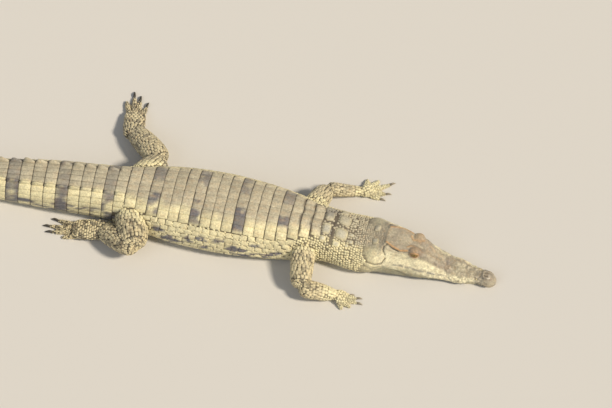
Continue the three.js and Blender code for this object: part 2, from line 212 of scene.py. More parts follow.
@dataclass
class Body:
    """Head, neck, trunk and tail: cross-sections along the midline, the same sizes as the solids have."""

    heading: Profile = Profile(
        (0, -17.5), (285, -17), (325, -9.5), (360, -10.5), (420, -15.5), (480, -13.5), (520, -12.8),
        (860, -12.4), (1030, -11.5), (1190, -9.5), (1350, -8), (1500, -4.5), (1650, 0.5), (1790, 7),
        (1920, 14), (2072, 21),
    )
    half_width: Profile = Profile(
        (300, 68), (345, 79), (375, 80), (428, 74), (465, 73), (520, 83), (600, 98), (680, 108),
        (750, 112), (860, 107), (930, 95), (1000, 79), (1080, 70), (1190, 66), (1350, 53),
        (1500, 41), (1650, 31), (1800, 21.5), (1950, 13), (2072, 6),
    )
    back_height: Profile = Profile(
        (300, 98), (345, 93), (390, 96), (430, 106), (500, 121), (600, 133), (700, 137), (800, 136),
        (900, 131), (1030, 123), (1190, 111), (1350, 98), (1500, 84), (1650, 69), (1800, 53),
        (1950, 35), (2072, 16),
    )
    widest_share: Profile = Profile(
        (300, 0.42), (420, 0.4), (700, 0.36), (950, 0.4), (1100, 0.45), (2072, 0.46)
    )
    flat_share: Profile = Profile((300, 1.12), (500, 1.24), (900, 1.24), (1100, 1.18), (2072, 1.18))
    mouth: Profile = Profile(
        (0, 13), (20, 13), (47, 21), (63, 19), (95, 12), (128, 16), (165, 21), (197, 20), (225, 26),
        (250, 38), (268, 44), (345, 46),
    )
    top: Profile = Profile(
        (0, 27), (10, 36), (23, 41), (42, 36), (62, 35), (92, 38), (122, 43), (150, 54), (175, 69),
        (195, 82), (219, 89), (240, 94), (265, 101), (296, 104), (318, 99.5), (345, 94),
    )
    brow_width: Profile = Profile(
        (0, 8), (23, 10), (42, 9), (62, 12), (92, 17), (122, 18), (150, 18), (175, 20), (195, 24),
        (213, 26), (233, 26), (255, 28), (296, 31), (318, 36), (345, 42),
    )
    brow_height: Profile = Profile(
        (0, 25), (23, 39), (42, 34), (62, 33.5), (92, 36), (122, 41), (150, 52), (175, 69), (192, 86),
        (219, 97), (235, 95), (250, 99), (296, 104), (315, 98.5), (345, 91),
    )
    face_width: Profile = Profile(
        (0, 15), (22, 18), (44, 16), (62, 20), (92, 27), (122, 31), (150, 34), (175, 37), (195, 38),
        (232, 38), (250, 40), (280, 45), (300, 52), (345, 64),
    )
    face_height: Profile = Profile(
        (0, 20), (22, 30), (44, 28), (62, 27), (92, 28), (122, 31), (150, 36), (175, 47), (195, 60),
        (213, 69), (232, 75), (250, 80), (300, 80), (345, 74),
    )
    jaw_width: Profile = Profile(
        (0, 18), (18, 21.3), (34, 21.4), (49, 20.8), (64, 25), (95, 34), (120, 36), (154, 43), (199, 54),
        (240, 60), (266, 65), (300, 69), (325, 75), (345, 79),
    )
    lower_width: Profile = Profile(
        (0, 10), (13, 12.8), (20, 14.8), (34, 15.8), (49, 18.2), (64, 20), (95, 27.5), (120, 29.5),
        (154, 36.5), (199, 47.5), (240, 58), (266, 64.5), (300, 69), (325, 75), (345, 79),
    )
    folds: tuple[Fold, ...] = (
        Fold(((298, 0.15), (277, 0.21), (256, 0.25), (238, 0.21)), 3.0, 2.8, 0.75),  # rim of the skull table
        Fold(((300, 0.0), (300, 0.08), (298, 0.15)), 4.5, 0.9, 0.1),  # rim along its back
        Fold(((310, 0.0), (311, 0.1), (308, 0.18)), 6.0, -1.2),  # step down to the nape
        Fold(((326, 0.1), (327, 0.12)), 6.5, 2.6),  # boss behind the skull
        Fold(((296, 0.19), (303, 0.225), (304, 0.28), (296, 0.35)), 2.6, -3.6),  # hook behind the ear
        Fold(((262, 0.29), (280, 0.25), (296, 0.19)), 2.3, -3.6),  # ear slit
        Fold(((236, 0.37), (258, 0.37), (280, 0.35)), 2.0, -1.7),  # crease under the ear flap
        Fold(((333, 0.2), (331, 0.32)), 17.0, 3.4),  # jaw muscle behind the skull
        Fold(((363, 0.06), (360, 0.21), (347, 0.345), (325, 0.43), (303, 0.46), (293, 0.4)), 3.2, -3.6),
        Fold(((372, 0.1), (370, 0.24), (356, 0.4), (334, 0.5)), 4.0, -1.6),  # second fold behind it
        Fold(((330, 0.47), (300, 0.5), (255, 0.475)), 2.6, -1.7),  # crease from the corner of the mouth
        Fold(((240, 0.13), (233, 0.075), (219, 0.085), (204, 0.13)), 2.8, 2.2, 0.55),  # inner rim of the eye
        Fold(((204, 0.0), (232, 0.0)), 5.0, -2.4),  # dish between the eyes
        Fold(((204, 0.16), (180, 0.11), (152, 0.06)), 3.6, 1.7, 0.15),  # ridge in front of the eye
        Fold(((196, 0.3), (168, 0.28), (140, 0.24)), 5.0, -1.6),  # hollow below it
        Fold(((134, 0.13), (96, 0.16), (62, 0.2)), 4.5, 1.5),  # ridge along the snout
        Fold(((116, 0.36), (94, 0.37)), 8.0, 1.8),  # swelling over the largest teeth
        Fold(((43, 0.0), (42, 0.2), (46, 0.3)), 3.4, -1.1),  # waist behind the nostrils
        Fold(((36, 0.0), (35, 0.14), (26, 0.26), (14, 0.18), (10, 0.0)), 2.0, 1.5),  # rim round the nostrils
        Fold(((33, 0.07), (29, 0.12), (23, 0.12)), 1.9, -4.2),  # nostril
        Fold(((202, 0.3), (216, 0.325), (232, 0.3)), 2.4, -1.8),  # crease under the eye
        Fold(((232, 0.43), (262, 0.43), (288, 0.42)), 5.0, 1.6),  # cheek
    )
    lip_line: tuple[tuple[float, float], ...] = (
        (272, 0.455), (249, 0.445), (208, 0.435), (169, 0.41), (130, 0.37)
    )
    rug: float = 0.5
    bead: float = 3.4
    arc_step: float = 8.0
    arc_rounds: int = 181

    def __post_init__(self) -> None:
        """Walks the midline, and measures the length of each section's edge."""
        stations = np.arange(0, TAIL_TIP) + 0.5
        turn = np.radians(self.heading(stations))
        step = np.stack([-np.cos(turn), -np.sin(turn)], 1)
        start = np.array([SNOUT_TIP]) - np.array([MIDDLE])
        self.midline = np.concatenate([start, start + np.cumsum(step, 0)])
        self.table_at = np.arange(0.0, TAIL_TIP + self.arc_step, self.arc_step)
        rounds = np.linspace(0, 1, self.arc_rounds)
        at, turns = np.meshgrid(np.minimum(self.table_at, TAIL_TIP - 0.5), rounds, indexing="ij")
        out, height = self.outline(at.ravel(), turns.ravel(), 0.0)
        edge = np.stack([out, height], 1).reshape(len(self.table_at), self.arc_rounds, 2)
        length = np.cumsum(np.linalg.norm(np.diff(edge, axis=1), axis=2), axis=1)
        length = np.concatenate([np.zeros((len(self.table_at), 1)), length], 1)
        self.half_girth = Profile(*zip(self.table_at, length[:, -1]))
        shares = np.linspace(0, 1, self.arc_rounds)
        self.round_of = np.stack([np.interp(shares * row[-1], row, rounds) for row in length])

    def head_section(self, station: Array, turn: Array) -> tuple[Array, Array]:
        """The head's section, read between the edges that shape it.

        Args:
            station: How far behind the snout.
            turn: How far round, from 0 on top to 1 below.

        Returns:
            How far out and how high, in millimetres.
        """
        mouth, jaw, lower = self.mouth(station), self.jaw_width(station), self.lower_width(station)
        open_lip = 1 - smooth(235, 285, station)
        slit = 5.5 * open_lip * smooth(0, 14, station) + 0.2
        nil = np.zeros_like(station)
        edges = [
            (0.0, nil, self.top(station)),
            (0.2, self.brow_width(station), self.brow_height(station)),
            (0.36, self.face_width(station), self.face_height(station)),
            (0.49, jaw - 0.6, mouth + 7),
            (0.535, jaw, mouth + 2.4),
            (0.555, jaw - 0.9 * open_lip, mouth + 0.7),
            (0.575, jaw - 1.0 * open_lip - slit, mouth + 0.2),
            (0.59, lower - 0.6 * slit, mouth - 0.9),
            (0.605, lower - 0.4 * open_lip, mouth - 1.8),
            (0.64, lower, mouth - 4.2),
            (0.74, lower - 2.5, mouth * 0.4),
            (0.84, jaw * 0.68, nil),
            (1.0, nil, nil),
        ]
        at = np.array([edge[0] for edge in edges])
        value = np.stack([np.stack([out, high]) for _, out, high in edges])
        slope = slopes(at, value)
        i = np.clip(np.searchsorted(at, turn, side="right") - 1, 0, len(edges) - 2)
        n = np.arange(len(station))
        ends = [part[j, :, n].T for part in (value, slope) for j in (i, i + 1)]
        out, height = hermite(turn, at[i], at[i + 1], *ends)
        return np.maximum(out, 0), np.maximum(height, 0)

    def body_section(self, station: Array, turn: Array) -> tuple[Array, Array]:
        """The section of neck, trunk or tail: how far out and how high, in millimetres.

        Args:
            station: How far behind the snout.
            turn: How far round, from 0 on top to 1 below.

        Returns:
            How far out and how high each point lies.
        """
        angle = turn * math.pi
        wide, high = self.half_width(station), self.back_height(station)
        widest = high * self.widest_share(station)
        out = wide * np.abs(np.sin(angle)) ** 0.86
        lift = np.cos(angle)
        above = widest + (high - widest) * np.maximum(lift, 0) ** 0.92
        below = widest - widest * self.flat_share(station) * np.maximum(-lift, 0) ** 0.85
        return out, np.maximum(np.where(lift > 0, above, below), 0)

    def outline(self, station: Array, turn: Array, grown: float | Array) -> tuple[Array, Array]:
        """The whole animal's section, grown outwards by a distance.

        Args:
            station: How far behind the snout.
            turn: How far round, from 0 on top to 1 below.
            grown: The distance, negative to shrink.

        Returns:
            How far out and how high, in millimetres.
        """
        share = smooth(300, 345, station)
        tip = np.minimum(np.minimum(station / SNOUT_ROUND, (TAIL_TIP - station) / TAIL_ROUND), 1)
        rounding = np.sqrt(np.maximum(1 - (1 - tip) ** 2, 0.0005))
        head = self.head_section(station, turn)
        body = self.body_section(station, turn)
        out, height = ((head[i] * (1 - share) + body[i] * share) for i in (0, 1))
        middle = np.where(station < NECK_START, self.mouth(station) * 0.9, self.back_height(station) * 0.45)
        rise = height - middle
        size = 1 + grown / np.maximum(np.hypot(out, rise), 4.0)
        floor = np.maximum(-np.asarray(grown, float), 0) * np.ones_like(out)
        return out * rounding * size, np.maximum(middle + rise * rounding * size, floor)

    def place(self, station: Array, right: Array, height: Array) -> Array:
        """The points that far to the right of the midline and that high above the floor.

        Args:
            station: How far behind the snout.
            right: How far to the right of the midline.
            height: How far above the floor.

        Returns:
            The points, in millimetres.
        """
        station = np.clip(station, 0, TAIL_TIP - 1e-3)
        i = station.astype(int)
        share = (station - i)[:, None]
        at = self.midline[i] * (1 - share) + self.midline[i + 1] * share
        turn = np.radians(self.heading(station))
        return np.stack([at[:, 0] + right * np.sin(turn), at[:, 1] - right * np.cos(turn), height], 1)

    def locate(self, points: Array) -> tuple[Array, Array]:
        """The station of each point and how far to the right of the midline it lies.

        Args:
            points: Places, in millimetres.

        Returns:
            The stations, and the distances to the right.
        """
        coarse = self.midline[::4]
        station = np.empty(len(points))
        for part in np.array_split(np.arange(len(points)), max(1, len(points) // 4000)):
            gap = points[part, None, :2] - coarse[None]
            station[part] = np.argmin((gap**2).sum(2), 1) * 4.0
        station = np.minimum(station, TAIL_TIP - 1)
        turn = np.radians(self.heading(station))
        offset = points[:, :2] - self.midline[station.astype(int)]
        behind = -offset[:, 0] * np.cos(turn) - offset[:, 1] * np.sin(turn)
        right = offset[:, 0] * np.sin(turn) - offset[:, 1] * np.cos(turn)
        return np.clip(station + np.clip(behind, -4, 4), 0, TAIL_TIP - 1), right

    def relief(self, local: Array, around: Array) -> Array:
        """How far the folds of the head lift each point.

        Args:
            local: Station, distance out and height of each point.
            around: How far round each is, from 0 on top to 1 below.

        Returns:
            The lift, in millimetres.
        """
        lift = np.zeros(len(local))
        for fold in self.folds:
            path = np.array(fold.path)
            knots = np.stack([path[:, 0], *self.outline(path[:, 0], path[:, 1], 0.0)], 1)
            lift += fold.rise * np.exp(-((off_path(local, knots) / fold.width) ** 2))
        wave = 0.5 + 0.5 * np.cos((local[:, 0] - 18.0) * math.tau / 15.5)
        lip = np.exp(-(((around - 0.465) / 0.05) ** 2)) + 0.5 * np.exp(-(((around - 0.33) / 0.06) ** 2))
        return lift + 2.0 * (wave - 0.4) * lip * (1 - smooth(150, 215, local[:, 0]))

    def warty(self, station: Array) -> Array:
        """How warty the hide of the snout is at a station."""
        return smooth(14, 40, station) * (1 - smooth(150, 205, station))

    def surface(self, station: Array, turn: Array, grown: float | Array) -> Array:
        """The points of the hide, with the folds of the head.

        Args:
            station: How far behind the snout.
            turn: How far round, from -1 below, by the left and 0 on top, to 1 below.
            grown: How far outwards, negative for inwards.

        Returns:
            The points, in millimetres.
        """
        around = np.abs(turn)
        out, height = self.outline(station, around, grown)
        head = station < 385
        if head.any():
            at, edge = station[head], around[head]
            ahead = np.stack(self.outline(at, np.minimum(edge + 0.004, 1), 0.0), 1)
            behind = np.stack(self.outline(at, np.maximum(edge - 0.004, 0), 0.0), 1)
            tangent = unit(ahead - behind)
            local = np.stack([at, out[head], height[head]], 1)
            lift = self.relief(local, edge)
            spot = self.place(at, np.sign(turn[head]) * out[head], height[head])
            bony = (1 - smooth(290, 318, at)) * (1 - smooth(0.44, 0.5, edge))
            lift += bony * self.rug * mottle(spot, 6.5, 2.0)
            lift += bony * self.bead * self.warty(at) * np.maximum(mottle(spot, 7.0, 6.0), -0.25)
            out[head] = np.maximum(out[head] - tangent[:, 1] * lift, 0)
            height[head] = np.maximum(height[head] + tangent[:, 0] * lift, 0)
        return self.place(station, np.sign(turn) * out, height)

    def arc(self, station: float, turn: float) -> float:
        """The arc length from the ridge of the back to a turn, in millimetres.

        Args:
            station: How far behind the snout.
            turn: How far round, from 0 on top to 1 below.

        Returns:
            The length.
        """
        row = self.round_of[min(int(station / self.arc_step), len(self.round_of) - 1)]
        shares = np.linspace(0, 1, self.arc_rounds)
        return float(np.interp(turn, row, shares) * self.half_girth(station))

    def arc_out(self, station: float, share: float) -> float:
        """The arc length to the point a share of the half width out, on the upper side of trunk or tail."""
        return self.arc(station, math.asin(min(share, 1.0) ** (1 / 0.86)) / math.pi)

    def points(self, along: Array, across: Array) -> Array:
        """The points of the hide under the coat, by station and by arc length from the ridge of the back.

        Args:
            along: The stations.
            across: The arc lengths, positive on the animal's right.

        Returns:
            The points, in millimetres.
        """
        share = np.clip(np.abs(across) / self.half_girth(along), 0, 1)
        row = np.clip(along / self.arc_step, 0, len(self.table_at) - 1.001)
        column = share * (self.arc_rounds - 1.001)
        i, j = row.astype(int), column.astype(int)
        u, v = row - i, column - j
        table = self.round_of
        near = table[i, j] * (1 - v) + table[i, j + 1] * v
        far = table[i + 1, j] * (1 - v) + table[i + 1, j + 1] * v
        turn = near * (1 - u) + far * u
        return self.surface(along, np.where(across < 0, -turn, turn), -COAT_DEPTH)


# ---- legs


@dataclass
class Flesh:
    """Round-ended flesh along a path, with half widths and half heights that change along it."""

    knots: Array
    wide: Profile
    high: Profile
    shrunk: float = 0.0

    def __post_init__(self) -> None:
        """Runs a smooth path through the knots and measures it."""
        before, after = 2 * self.knots[0] - self.knots[1], 2 * self.knots[-1] - self.knots[-2]
        ends = np.concatenate([[before], self.knots, [after]])
        steps = np.linspace(0, 1, 24, endpoint=False)[:, None]
        parts = []
        for a, b, c, d in zip(ends[:-3], ends[1:-2], ends[2:-1], ends[3:]):
            cubic = 2 * b + (c - a) * steps + (2 * a - 5 * b + 4 * c - d) * steps**2
            parts.append((cubic + (3 * b - a - 3 * c + d) * steps**3) / 2)
        self.path = np.concatenate([*parts, self.knots[-1:]])
        gaps = np.linalg.norm(np.diff(self.path, axis=0), axis=1)
        self.measure = np.concatenate([[0], np.cumsum(gaps)])
        self.length = float(self.measure[-1])

    def along(self, share: Array) -> Array:
        """The points of the path a share of the way along it."""
        return np.stack([np.interp(share * self.length, self.measure, self.path[:, k]) for k in range(3)], 1)

    def at(self, share: Array, angle: Array) -> Array:
        """The points a share of the way along and at an angle round, from the top towards the right.

        Args:
            share: From 0 at the start to 1 at the end.
            angle: In radians.

        Returns:
            The points, in millimetres.
        """
        near, far = np.clip(share - 0.02, 0, 1), np.clip(share + 0.02, 0, 1)
        ahead = unit(self.along(far) - self.along(near))
        side = unit(np.stack([ahead[:, 1], -ahead[:, 0], np.zeros(len(ahead))], 1))
        up = np.cross(side, ahead)
        rounding = np.maximum(1 - np.abs(2 * share - 1) ** 4, 0) ** 0.25
        wide = np.maximum(self.wide(share) * rounding - self.shrunk, 0.0)
        high = np.maximum(self.high(share) * rounding - self.shrunk, 0.0)
        out, lift = (np.sin(angle) * wide)[:, None], (np.cos(angle) * high)[:, None]
        made = self.along(share) + side * out + up * lift
        made[:, 2] = np.maximum(made[:, 2], self.shrunk * 0.6)
        return made

    def points(self, along: Array, across: Array) -> Array:
        """The points by distance along and by arc length from the top.

        Args:
            along: How far along the path.
            across: How far round it, in millimetres.

        Returns:
            The points, in millimetres.
        """
        share = np.clip(along / self.length, 0.0, 1.0)
        girth = (self.wide(share) + self.high(share)) / 2
        return self.at(share, -across / girth)

    def solid(self, bm: bmesh.types.BMesh, sides: int, rows: int) -> None:
        """Adds the closed form to a bmesh, as a ball whose rings follow the path.

        Args:
            bm: What it is added to.
            sides: How many sides each ring has.
            rows: How many rings there are.
        """
        made = bmesh.ops.create_uvsphere(bm, u_segments=sides, v_segments=rows, radius=1.0)["verts"]
        ball = np.array([v.co for v in made], float)
        share = (1 - ball[:, 2]) / 2
        pole = np.hypot(ball[:, 0], ball[:, 1]) < 1e-5
        placed = self.at(share, np.arctan2(-ball[:, 0], ball[:, 1]))
        placed[pole] = np.where(share[pole, None] < 0.5, self.path[0], self.path[-1])
        put(made, placed)


@dataclass
class Leg:
    """One leg: its joints, the thickness of its flesh and the tips of its toes, as the solids have them."""

    name: str
    root: tuple[float, float, float]
    bend: tuple[float, float, float]
    end: tuple[float, float, float]
    upper: tuple[float, float, float]
    lower: tuple[float, float, float]
    palm: float
    heel: float
    webbed: float
    toe_radius: float
    claw: float
    toes: tuple[tuple[float, float], ...]
    shrunk: float = 1.1
    clawed: int = 3

    def shifted(self, xyz: Sequence[float]) -> Array:
        """A point of the plan in the frame whose origin is under the middle of the animal."""
        return np.array(xyz, float) - np.array([*MIDDLE, 0.0])

    def length(self, start: Sequence[float], stop: Sequence[float], radii: Sequence[float]) -> Flesh:
        """The flesh between two joints.

        Args:
            start: The first joint.
            stop: The second joint.
            radii: Its thickness, evenly spaced along it.

        Returns:
            Its form.
        """
        size = evenly(radii)
        high = evenly([r * 0.92 for r in radii])
        return Flesh(np.array([self.shifted(start), self.shifted(stop)]), size, high, self.shrunk)

    def sole(self) -> Flesh:
        """The palm or the sole of the foot, with its heel.

        Returns:
            Its form.
        """
        wrist = self.shifted(self.end)
        middle = self.shifted([*np.mean(self.toes, 0), self.toe_radius])
        knuckles = wrist + (middle - wrist) * self.webbed
        start = wrist - (knuckles - wrist) * 0.3
        wide = evenly([self.heel, (self.heel + self.palm) / 2, self.palm])
        high = evenly([self.lower[2] * 0.95, self.toe_radius * 1.8, self.toe_radius * 1.2])
        return Flesh(np.array([start, knuckles]), wide, high, self.shrunk)

    def toe(self, tip: tuple[float, float]) -> Flesh:
        """A toe, from inside the palm to where its claw starts.

        Args:
            tip: The point of its claw on the floor.

        Returns:
            Its form.
        """
        r = self.toe_radius
        wrist, end = self.shifted(self.end), self.shifted([*tip, r * 0.55])
        direction = unit((end - wrist) * [1, 1, 0])
        start, knuckle = wrist + (end - wrist) * 0.3, wrist + (end - wrist) * 0.62
        start[2], knuckle[2] = r * 1.3, r * 0.95
        knots = np.array([start, knuckle, end - direction * self.claw * 0.6])
        wide, high = evenly([r * 1.15, r, r * 0.75]), evenly([r * 1.1, r, r * 0.75])
        return Flesh(knots, wide, high, self.shrunk * 0.6)

    def horn(self, tip: tuple[float, float]) -> Flesh:
        """A claw, from inside the end of its toe down to the floor.

        Args:
            tip: Its point on the floor.

        Returns:
            Its form.
        """
        end = self.toe(tip).path[-1]
        direction = unit(self.shifted([*tip, end[2]]) - end)
        r = self.toe_radius * 0.52
        knots = [end - direction * 4, end + direction * self.claw * 0.4, end + direction * self.claw]
        knots[1][2], knots[2][2] = self.toe_radius * 0.95, 1.2
        return Flesh(np.array(knots), evenly([r, r * 0.75, 0.5]), evenly([r * 1.1, r * 0.85, 0.6]))

    def web(self, first: tuple[float, float], second: tuple[float, float]) -> Flesh:
        """The thin web between two toes.

        Args:
            first: The tip of one toe.
            second: The tip of the next.

        Returns:
            Its form.
        """
        wrist = self.shifted(self.end)
        ends = [self.shifted([*tip, 0.0]) for tip in (first, second)]
        middle = (ends[0] + ends[1]) / 2
        spread = np.linalg.norm(ends[0] - ends[1]) / 2
        start, stop = wrist + (middle - wrist) * 0.35, wrist + (middle - wrist) * (self.webbed + 0.16)
        start[2] = stop[2] = self.toe_radius * 0.75
        return Flesh(np.array([start, stop]), evenly([spread * 0.5, spread * 0.85]), evenly([3.5, 1.9]))

    def flesh(self) -> list[Flesh]:
        """Every form of the leg that its skin covers.

        Returns:
            Upper leg, lower leg and sole, then the toes, then the webs.
        """
        upper = self.length(self.root, self.bend, self.upper)
        lower = self.length(self.bend, self.end, self.lower)
        webs = [self.web(a, b) for a, b in zip(self.toes[:-1], self.toes[1:])]
        return [upper, lower, self.sole(), *(self.toe(tip) for tip in self.toes), *webs]


def evenly(sizes: Sequence[float]) -> Profile:
    """A profile from 0 to 1 through evenly spaced sizes."""
    return Profile(*((i / (len(sizes) - 1), size) for i, size in enumerate(sizes)))


LEGS = (
    Leg(
        "front_left", (510, -92, 72), (553, -7, 44), (650, 1, 17), (34, 30, 25), (22, 17, 14),
        24, 14, 0.5, 6.4, 14, ((703, -17), (719, 1), (730, 34), (699, 50), (664, 56)),
    ),
    Leg(
        "front_right", (493, -196, 72), (480, -312, 40), (578, -321, 17), (34, 31, 27), (27, 24, 16),
        24, 15, 0.5, 6.4, 14, ((621, -313), (641, -324), (641, -341), (621, -358), (594, -366)),
    ),
    Leg(
        "rear_left", (46, -3, 66), (118, 73, 58), (39, 185, 26), (42, 40, 31), (31, 33, 28),
        31, 29, 0.58, 7.2, 17, ((77, 284), (58, 305), (41, 318), (17, 305)),
    ),
    Leg(
        "rear_right", (30, -82, 66), (47, -201, 63), (-43, -124, 26), (43, 42, 33), (34, 33, 27),
        32, 29, 0.58, 7.2, 17, ((-172, -77), (-194, -97), (-188, -116), (-160, -136)),
    ),
)


# ---- mesh helpers


def object_from(name: str, bm: bmesh.types.BMesh, scale: float = MM) -> bpy.types.Object:
    """Makes an object of a bmesh held in millimetres.

    Args:
        name: The piece's name.
        bm: The bmesh, which is freed.
        scale: Metres to its unit.

    Returns:
        The new object, shaded smooth and at the origin.
    """
    bmesh.ops.scale(bm, vec=(scale,) * 3, verts=bm.verts)
    mesh = bpy.data.meshes.new(name)
    bm.to_mesh(mesh)
    bm.free()
    made = bpy.data.objects.new(name, mesh)
    bpy.context.scene.collection.objects.link(made)
    mesh.polygons.foreach_set("use_smooth", np.ones(len(mesh.polygons), bool))
    return made


def coordinates(mesh: bpy.types.Mesh) -> Array:
    """A mesh's vertices, in millimetres.

    Args:
        mesh: The mesh.

    Returns:
        One row for each vertex.
    """
    co = np.empty(len(mesh.vertices) * 3, np.float32)
    mesh.vertices.foreach_get("co", co)
    return co.reshape(-1, 3).astype(float) / MM


def applied(obj: bpy.types.Object) -> bpy.types.Object:
    """Turns an object's modifiers into its mesh.

    Args:
        obj: The object.

    Returns:
        The same object.
    """
    evaluated = obj.evaluated_get(bpy.context.evaluated_depsgraph_get())
    mesh = bpy.data.meshes.new_from_object(evaluated)
    obj.modifiers.clear()
    old, obj.data = obj.data, mesh
    bpy.data.meshes.remove(old)
    return obj


def sheet_grid(bm: bmesh.types.BMesh, rows: int, columns: int) -> list[bmesh.types.BMVert]:
    """Adds a flat grid of rows by columns of vertices, in reading order.

    Args:
        bm: Where to add it.
        rows: Vertices one way.
        columns: Vertices the other way.

    Returns:
        Its vertices, row after row.
    """
    made = bmesh.ops.create_grid(bm, x_segments=columns - 1, y_segments=rows - 1, size=1.0)["verts"]
    return sorted(made, key=lambda v: (round(v.co.y, 6), v.co.x))


def put(vertices: Iterable[bmesh.types.BMVert], places: Array) -> None:
    """Moves each vertex to its place."""
    for vertex, place in zip(vertices, places):
        vertex.co = place


def dress(made: bpy.types.Object, finish: bpy.types.Material, slot: str, *nodes: str) -> bpy.types.Object:
    """Gives a piece its material and its body, and reports it.

    Args:
        made: The piece.
        finish: Its material.
        slot: The colour slot that it would take; not used.
        nodes: The solids that it stands for.

    Returns:
        The same piece.
    """
    made.data.materials.clear()
    made.data.materials.append(finish)
    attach(made, "root")
    if nodes:
        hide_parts(*nodes)
    LOG.info("%s: %d faces", made.name, len(made.data.polygons))
    return made


def paint(mesh: bpy.types.Mesh, name: str, kind: str, values: Array) -> None:
    """Stores a value for each vertex under a name that the materials read.

    Args:
        mesh: The mesh.
        name: The name.
        kind: FLOAT, FLOAT_COLOR or FLOAT_VECTOR.
        values: One row for each vertex.
    """
    layer = mesh.attributes.new(name, kind, "POINT")
    key = {"FLOAT": "value", "FLOAT_COLOR": "color", "FLOAT_VECTOR": "vector"}[kind]
    layer.data.foreach_set(key, np.ascontiguousarray(values, np.float32).ravel())


# ---- colours and markings


def linear(hex_colour: str) -> tuple[float, float, float, float]:
    """An sRGB hex colour of six digits as linear red, green and blue, and 1."""
    parts = [int(hex_colour[i : i + 2], 16) / 255 for i in (0, 2, 4)]
    return (*(c / 12.92 if c <= 0.04045 else ((c + 0.055) / 1.055) ** 2.4 for c in parts), 1.0)


class Hue(Enum):
    """The colours of the hide, in sRGB."""

    BACK = "c2b99f"
    FLANK = "eae0b4"
    BELLY = "e4dcb4"
    SLATE = "6f6e72"
    SEAM = "4b4035"
    SPECK = "2b2722"
    SKULL = "8c8073"
    JAW = "f1e8c3"
    CHEEK = "8f8d73"
    TIP = "aaa08c"
    RIM = "d29c5c"
    LEG = "e0d2a8"
    BOSS = "c9c6b2"
    LID = "5a2f26"


def hue(colour: Hue) -> Array:
    """A colour of the hide as linear red, green and blue."""
    return np.array(linear(colour.value)[:3])


def mixed(base: Array, other: Array, share: Array) -> Array:
    """Two colours mixed by a share for each row."""
    return base * (1 - share[:, None]) + other * share[:, None]


def mottle(points: Array, size: float, seed: float = 0.0) -> Array:
    """Smooth noise from -1 to 1 with grains of a size in millimetres.

    Args:
        points: Places, in millimetres.
        size: The size of a grain.
        seed: Which noise.

    Returns:
        One value for each place.
    """
    total = np.zeros(len(points))
    for octave, weight in ((1.0, 0.7), (2.1, 0.35)):
        place = points * octave / size + seed * 7.31
        cell = np.floor(place)
        share = place - cell
        share = share * share * (3 - 2 * share)
        for corner in np.ndindex(2, 2, 2):
            wave = np.sin((cell + corner) @ np.array([12.9898, 78.233, 37.719])) * 43758.5453
            near = np.prod(np.where(np.array(corner) == 1, share, 1 - share), axis=1)
            total += weight * near * (2 * (wave - np.floor(wave)) - 1)
    return total


